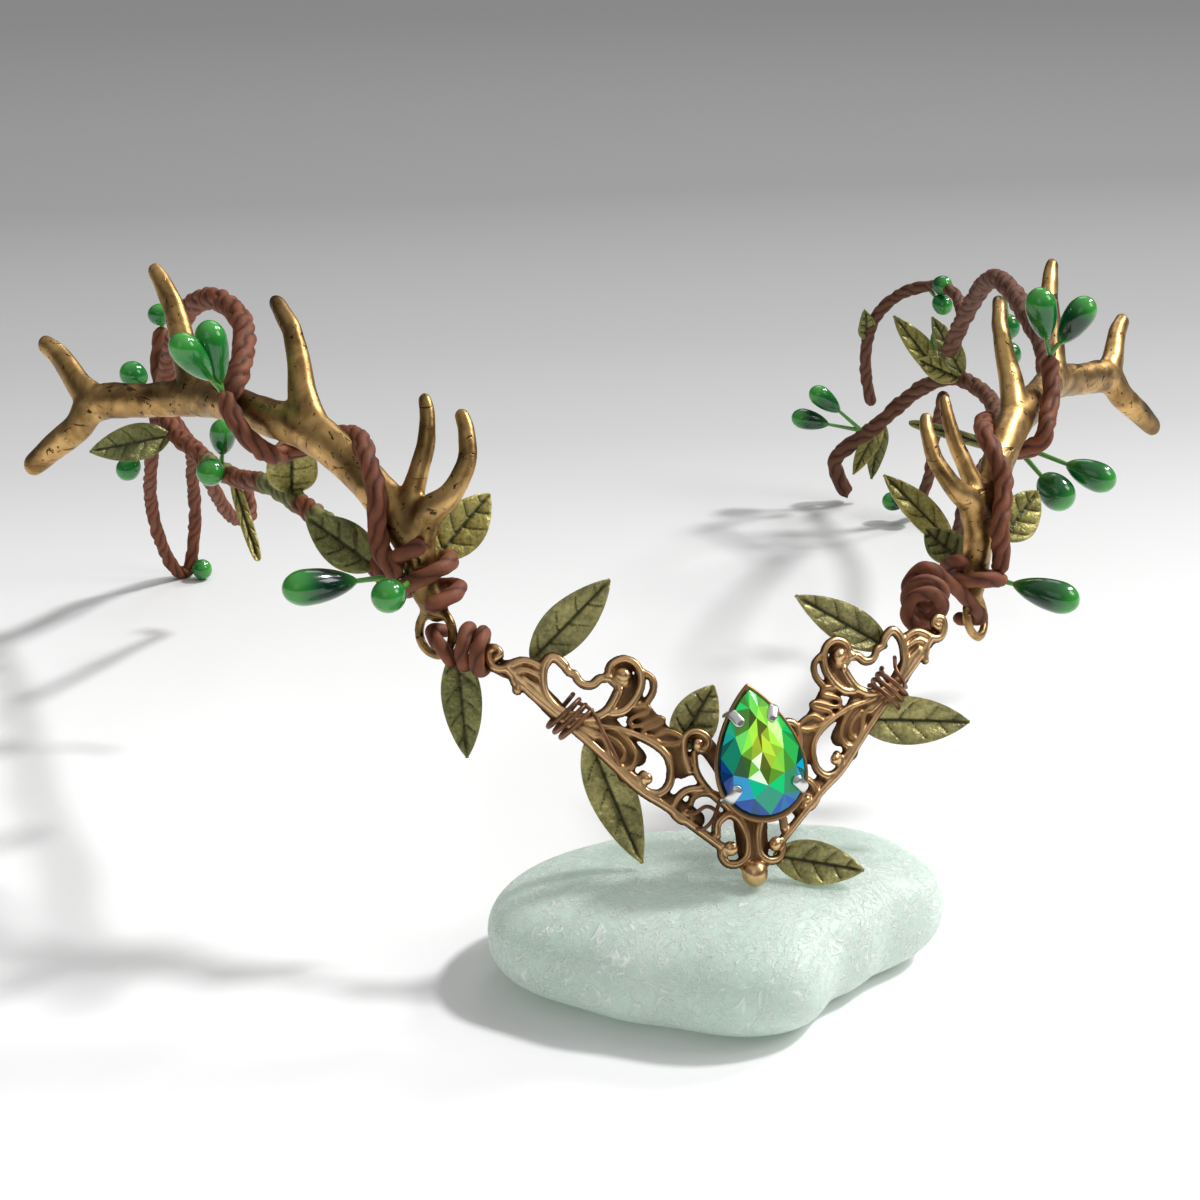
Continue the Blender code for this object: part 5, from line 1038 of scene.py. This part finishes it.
# Carrier, share along it, then for each bud: its tip from that place, its length and width in
# millimetres, and how dark its middle is
SPRIGS = {
    "sprig_stem_left": ("base_wrap_left", 0.5, [((-20.4, -7.5, 1.2), 11.4, 5.2, 1.0)]),
    "sprig_end_left": ("base_wrap_left", 0.5, [((-7.4, -13.5, 1.0), 5.6, 4.8, 0.0)]),
    "sprig_top_left": ("climb_vine_left", 1.0,
        [((-6.6, -3.9, 9.8), 9.6, 4.6, 0.0), ((-1.8, 1.3, 10.8), 9.8, 4.8, 0.0)]),
    "sprig_band_left": ("vine_band_left", 0.57,
        [((0.6, -5.0, 10.4), 7.4, 4.5, 0.8), ((-2.8, -8.0, 2.4), 4.8, 4.8, 0.0)]),
    "sprig_far_left": ("vine_band_left", 0.9,
        [((-7.4, 0.5, 7.4), 5.6, 5.0, 0.0), ((-7.8, 0.5, 2.4), 5.4, 4.4, 1.0)]),
    "berry_top_left": ("vine_band_left", 1.0, [((-0.4, 1.0, 4.6), 4.2, 4.8, 0.0)]),
    "berry_low_left": ("vine_band_left", 0.84, [((-10.0, -2.0, -9.5), 5.0, 4.4, 0.0)]),
    "berry_floor_left": ("floor_loop_left", 0.5, [((4.2, -3.6, 1.4), 3.9, 4.2, 0.0)]),
    "sprig_stem_right": ("base_wrap_right", 0.5, [((13.8, -8.5, -2.8), 10.6, 5.0, 0.95)]),
    "sprig_top_right": ("climb_vine_right", 1.0,
        [((-3.0, -1.0, 11.6), 9.0, 5.0, 0.35), ((5.9, -1.5, 9.8), 9.0, 4.8, 0.9)]),
    "sprig_side_right": ("climb_vine_right", 0.635,
        [((8.6, -8.0, -9.6), 7.0, 5.6, 0.85), ((16.0, -8.0, -6.2), 8.6, 4.9, 0.45)]),
    "sprig_arch_right": ("arch_vine_right", 0.44,
        [((2.2, 0.5, -11.0), 4.8, 4.2, 0.0), ((3.6, 3.5, -17.0), 4.8, 4.6, 0.3)]),
    "sprig_back_arch": ("back_arch_right", 0.38,
        [((3.2, -6.5, 1.6), 4.6, 4.2, 0.8), ((3.8, -5.5, -4.6), 4.8, 4.2, 0.0)]),
    "sprig_back_right": ("vine_band_right", 0.8,
        [((-1.2, -4.5, 12.6), 5.4, 4.4, 0.0), ((1.2, -6.5, 7.6), 5.0, 4.6, 0.9)]),
    "sprig_end_right": ("vine_band_right", 0.91,
        [((-13.0, 1.0, 10.6), 8.8, 4.6, 0.6), ((-17.0, 2.0, 4.2), 8.8, 4.6, 0.9)]),
    "berries_floor_right": ("drop_right", 0.9,
        [((-8.4, -1.0, 1.6), 5.0, 4.2, 0.8), ((-4.6, -6.0, 1.4), 4.8, 4.2, 0.9)]),
}
BUD_LIGHT = (0.05, 0.36, 0.045, 1)
BUD_NECK = (0.10, 0.32, 0.05, 1)
BUD_GREEN = (0.010, 0.21, 0.03, 1)
BUD_DARK = (0.001, 0.018, 0.012, 1)


def bud_skin(tip, toward, length, width):
    """Teardrop turned about its own line: the radius rises by a power from the neck to two thirds and
    closes in a quarter circle at the tip. The mark runs from 0 at the neck to 1 at the tip."""
    share = (1 - np.cos(np.linspace(0, np.pi, 34))) / 2
    plump = np.clip(length / width, 1.0, 2.0) - 1.0
    full = 0.52 + 0.18 * plump
    rise = np.clip(share / full, 0, 1) ** 0.8 * np.pi / 2
    low = np.sin(rise) ** (0.5 + 0.36 * plump)
    high = np.sqrt(np.clip(1 - ((share - full) / (1 - full)) ** 2, 0, 1))
    radius = width / 2 * np.maximum(np.where(share < full, low, high), 0.02)
    path = tip - np.outer((1 - share) * length, toward)
    grid = path[:, None] + rims_along(path, 32) * radius[:, None, None]
    return grid, np.broadcast_to(share[:, None], grid.shape[:2])


enamel = finish("bud_enamel", Roughness=0.16, IOR=1.5, Coat_Weight=0.5, Coat_Roughness=0.03)
share_along = add(enamel, "Attribute", attribute_name="bud_share").outputs["Fac"]
darkness = add(enamel, "Attribute", attribute_name="bud_dark").outputs["Fac"]
fresh = ramp(enamel, share_along, (0.0, BUD_NECK), (0.16, BUD_GREEN), (0.62, BUD_GREEN), (0.92, BUD_LIGHT))
shade = ramp(enamel, share_along, (0.02, 0.0), (0.24, 1.0), (0.58, 1.0), (0.86, 0.0))
streak = ramp(enamel, noise(enamel, 170, 2.0, 0.5, 1.0), (0.35, 0.55), (0.65, 1.0))
dark_middle = blend(enamel, 1.0, blend(enamel, 1.0, shade, darkness, "MULTIPLY"), streak, "MULTIPLY")
coloured = blend(enamel, dark_middle, fresh, BUD_DARK)
depth_of_glaze = ramp(enamel, noise(enamel, 210, 2.0), (0.3, 0.82), (0.7, 1.08))
send(enamel, blend(enamel, 1.0, coloured, depth_of_glaze, "MULTIPLY"), "Base Color")
for name, (carrier, share, buds) in SPRIGS.items():
    path, radius = routes[carrier]
    place = along_route(path, share)
    mean = np.mean([bud[0] for bud in buds], axis=0)
    out = mean / np.linalg.norm(mean) * radius * (END_REACH if share == 1.0 else SIDE_REACH)
    skins, along_marks, dark_marks = [], [], []
    for offset, length, width, dark in buds:
        tip = place + np.array(offset)
        tip[2] = max(tip[2], width / 2 + FLOOR_GAP)
        toward = (tip - place) / np.linalg.norm(tip - place)
        skin, mark = bud_skin(tip, toward, length, width)
        skin[..., 2] = np.maximum(skin[..., 2], FLOOR_GAP)
        neck = tip - toward * length * 0.97
        stem = smooth_run([place + out, place + out * 0.4 + (neck - place) * 0.6, neck], 0.4)
        wire = rod(stem, np.linspace(SPRIG_STEM * 0.5, SPRIG_STEM * 0.36, len(stem)), 12)
        wire[..., 2] = np.maximum(wire[..., 2], FLOOR_GAP)
        skins += [skin, wire]
        along_marks += [mark, np.zeros(wire.shape[:2])]
        dark_marks += [np.full(skin.shape[:2], dark), np.zeros(wire.shape[:2])]
    lay("enamel_" + name, skins, enamel, "bud_gloss", name, bud_share=along_marks, bud_dark=dark_marks)


# Floor, backdrop, lights and camera
# A sheet of white card lies under the crown and rises far behind it, its colour darkened further back as
# painted falloff of the light. The light comes from high at the right and throws soft shadows to the left,
# and three weak panels fill in.
SHEET_HALF_WIDTH = 3000.0
SHEET_FRONT = -1500.0
SHEET_FOOT = 3000.0
SHEET_TURN = 700.0
SHEET_TOP = 2600.0
FOCAL_LENGTH = 72.0
SENSOR_WIDTH = 36.0
# Metres, and degrees about x, y and z
CAMERA_PLACE = (-0.073, -0.3005, 0.1663)
CAMERA_TURN = (70.0, 0.0, -10.0)


def card_sheet():
    """Floor that turns up in a quarter circle far behind and then stands."""
    turn = np.radians(np.linspace(0, 90, 24))
    bend = np.stack([SHEET_FOOT + SHEET_TURN * np.sin(turn), SHEET_TURN * (1 - np.cos(turn))], axis=-1)
    profile = np.vstack([[SHEET_FRONT, 0.0], [SHEET_FOOT, 0.0], bend, [SHEET_FOOT + SHEET_TURN, SHEET_TOP]])
    wide = np.array([-SHEET_HALF_WIDTH, SHEET_HALF_WIDTH])
    points = np.array([[x, y, z] for y, z in profile for x in wide])
    rows = len(profile)
    faces = [(2 * k, 2 * k + 1, 2 * k + 3, 2 * k + 2) for k in range(rows - 1)]
    return points, faces


card = finish("white_card", Roughness=0.9, Specular_IOR_Level=0.1)
where = add(card, "SeparateXYZ")
card.node_tree.links.new(add(card, "TexCoord").outputs["Object"], where.inputs["Vector"])
far = add(card, "MapRange", {"From Min": -0.1, "From Max": 1.4})
card.node_tree.links.new(where.outputs["Y"], far.inputs["Value"])
# Painted falloff: the white card's colour goes from near white in front to grey far behind
painted_falloff = ramp(card, far.outputs["Result"], (0.0, 0.95), (0.13, 0.93), (0.187, 0.76), (0.243, 0.575),
              (0.309, 0.46), (0.462, 0.305), (0.853, 0.245))
send(card, painted_falloff, "Base Color")
points, faces = card_sheet()
sheet_mesh = bpy.data.meshes.new("card_sheet")
sheet_mesh.from_pydata((points * 0.001).tolist(), [], faces)
sheet_mesh.materials.append(card)
sheet_mesh.polygons.foreach_set("use_smooth", [True] * len(sheet_mesh.polygons))
backdrop = bpy.data.objects.new("card_backdrop", sheet_mesh)
bpy.context.scene.collection.objects.link(backdrop)


def light(name, kind, place, towards, strength, size):
    """Lamp turned to face a point: a panel with its side in metres, or a sun with its angle in degrees."""
    lamp = bpy.data.lights.new(name, kind)
    lamp.energy = strength
    if kind == "SUN":
        lamp.angle = np.radians(size)
    else:
        lamp.size = size
    made = bpy.data.objects.new(name, lamp)
    made.location = place
    heading = np.array(towards) - np.array(place)
    made.rotation_euler = (np.arctan2(np.hypot(heading[0], heading[1]), -heading[2]), 0.0,
                           np.arctan2(heading[1], heading[0]) - np.pi / 2)
    bpy.context.scene.collection.objects.link(made)


light("key", "SUN", (0.65, 0.12, 0.78), (0.0, 0.0, 0.0), 2.05, 7.0)
light("second_key", "SUN", (0.80, 0.42, 0.62), (0.0, 0.0, 0.0), 0.80, 9.0)
light("side_panel", "AREA", (0.50, -0.12, 0.42), (0.0, 0.08, 0.04), 0.8, 0.22)
light("front_fill", "AREA", (-0.45, -0.75, 0.55), (0.0, 0.05, 0.03), 0.5, 0.5)
light("back_rim", "AREA", (0.25, 0.75, 0.7), (0.0, 0.1, 0.04), 0.9, 0.4)
studio = bpy.data.worlds.new("studio")
studio.use_nodes = True
height = add(studio, "SeparateXYZ")
studio.node_tree.links.new(add(studio, "TexCoord").outputs["Generated"], height.inputs["Vector"])
sky = ramp(studio, height.outputs["Z"], (0.0, 0.10), (0.35, 0.17), (0.75, 0.70), (1.0, 0.90))
studio.node_tree.links.new(sky, studio.node_tree.nodes["Background"].inputs["Color"])
studio.node_tree.nodes["Background"].inputs["Strength"].default_value = 0.60
bpy.context.scene.world = studio
bpy.context.scene.view_settings.view_transform = "Standard"

lens = bpy.data.cameras.new("camera")
lens.lens = FOCAL_LENGTH
lens.sensor_width = SENSOR_WIDTH
lens.clip_start = 0.01
viewer = bpy.data.objects.new("camera", lens)
viewer.location = CAMERA_PLACE
viewer.rotation_euler = np.radians(CAMERA_TURN)
bpy.context.scene.collection.objects.link(viewer)
bpy.context.scene.camera = viewer
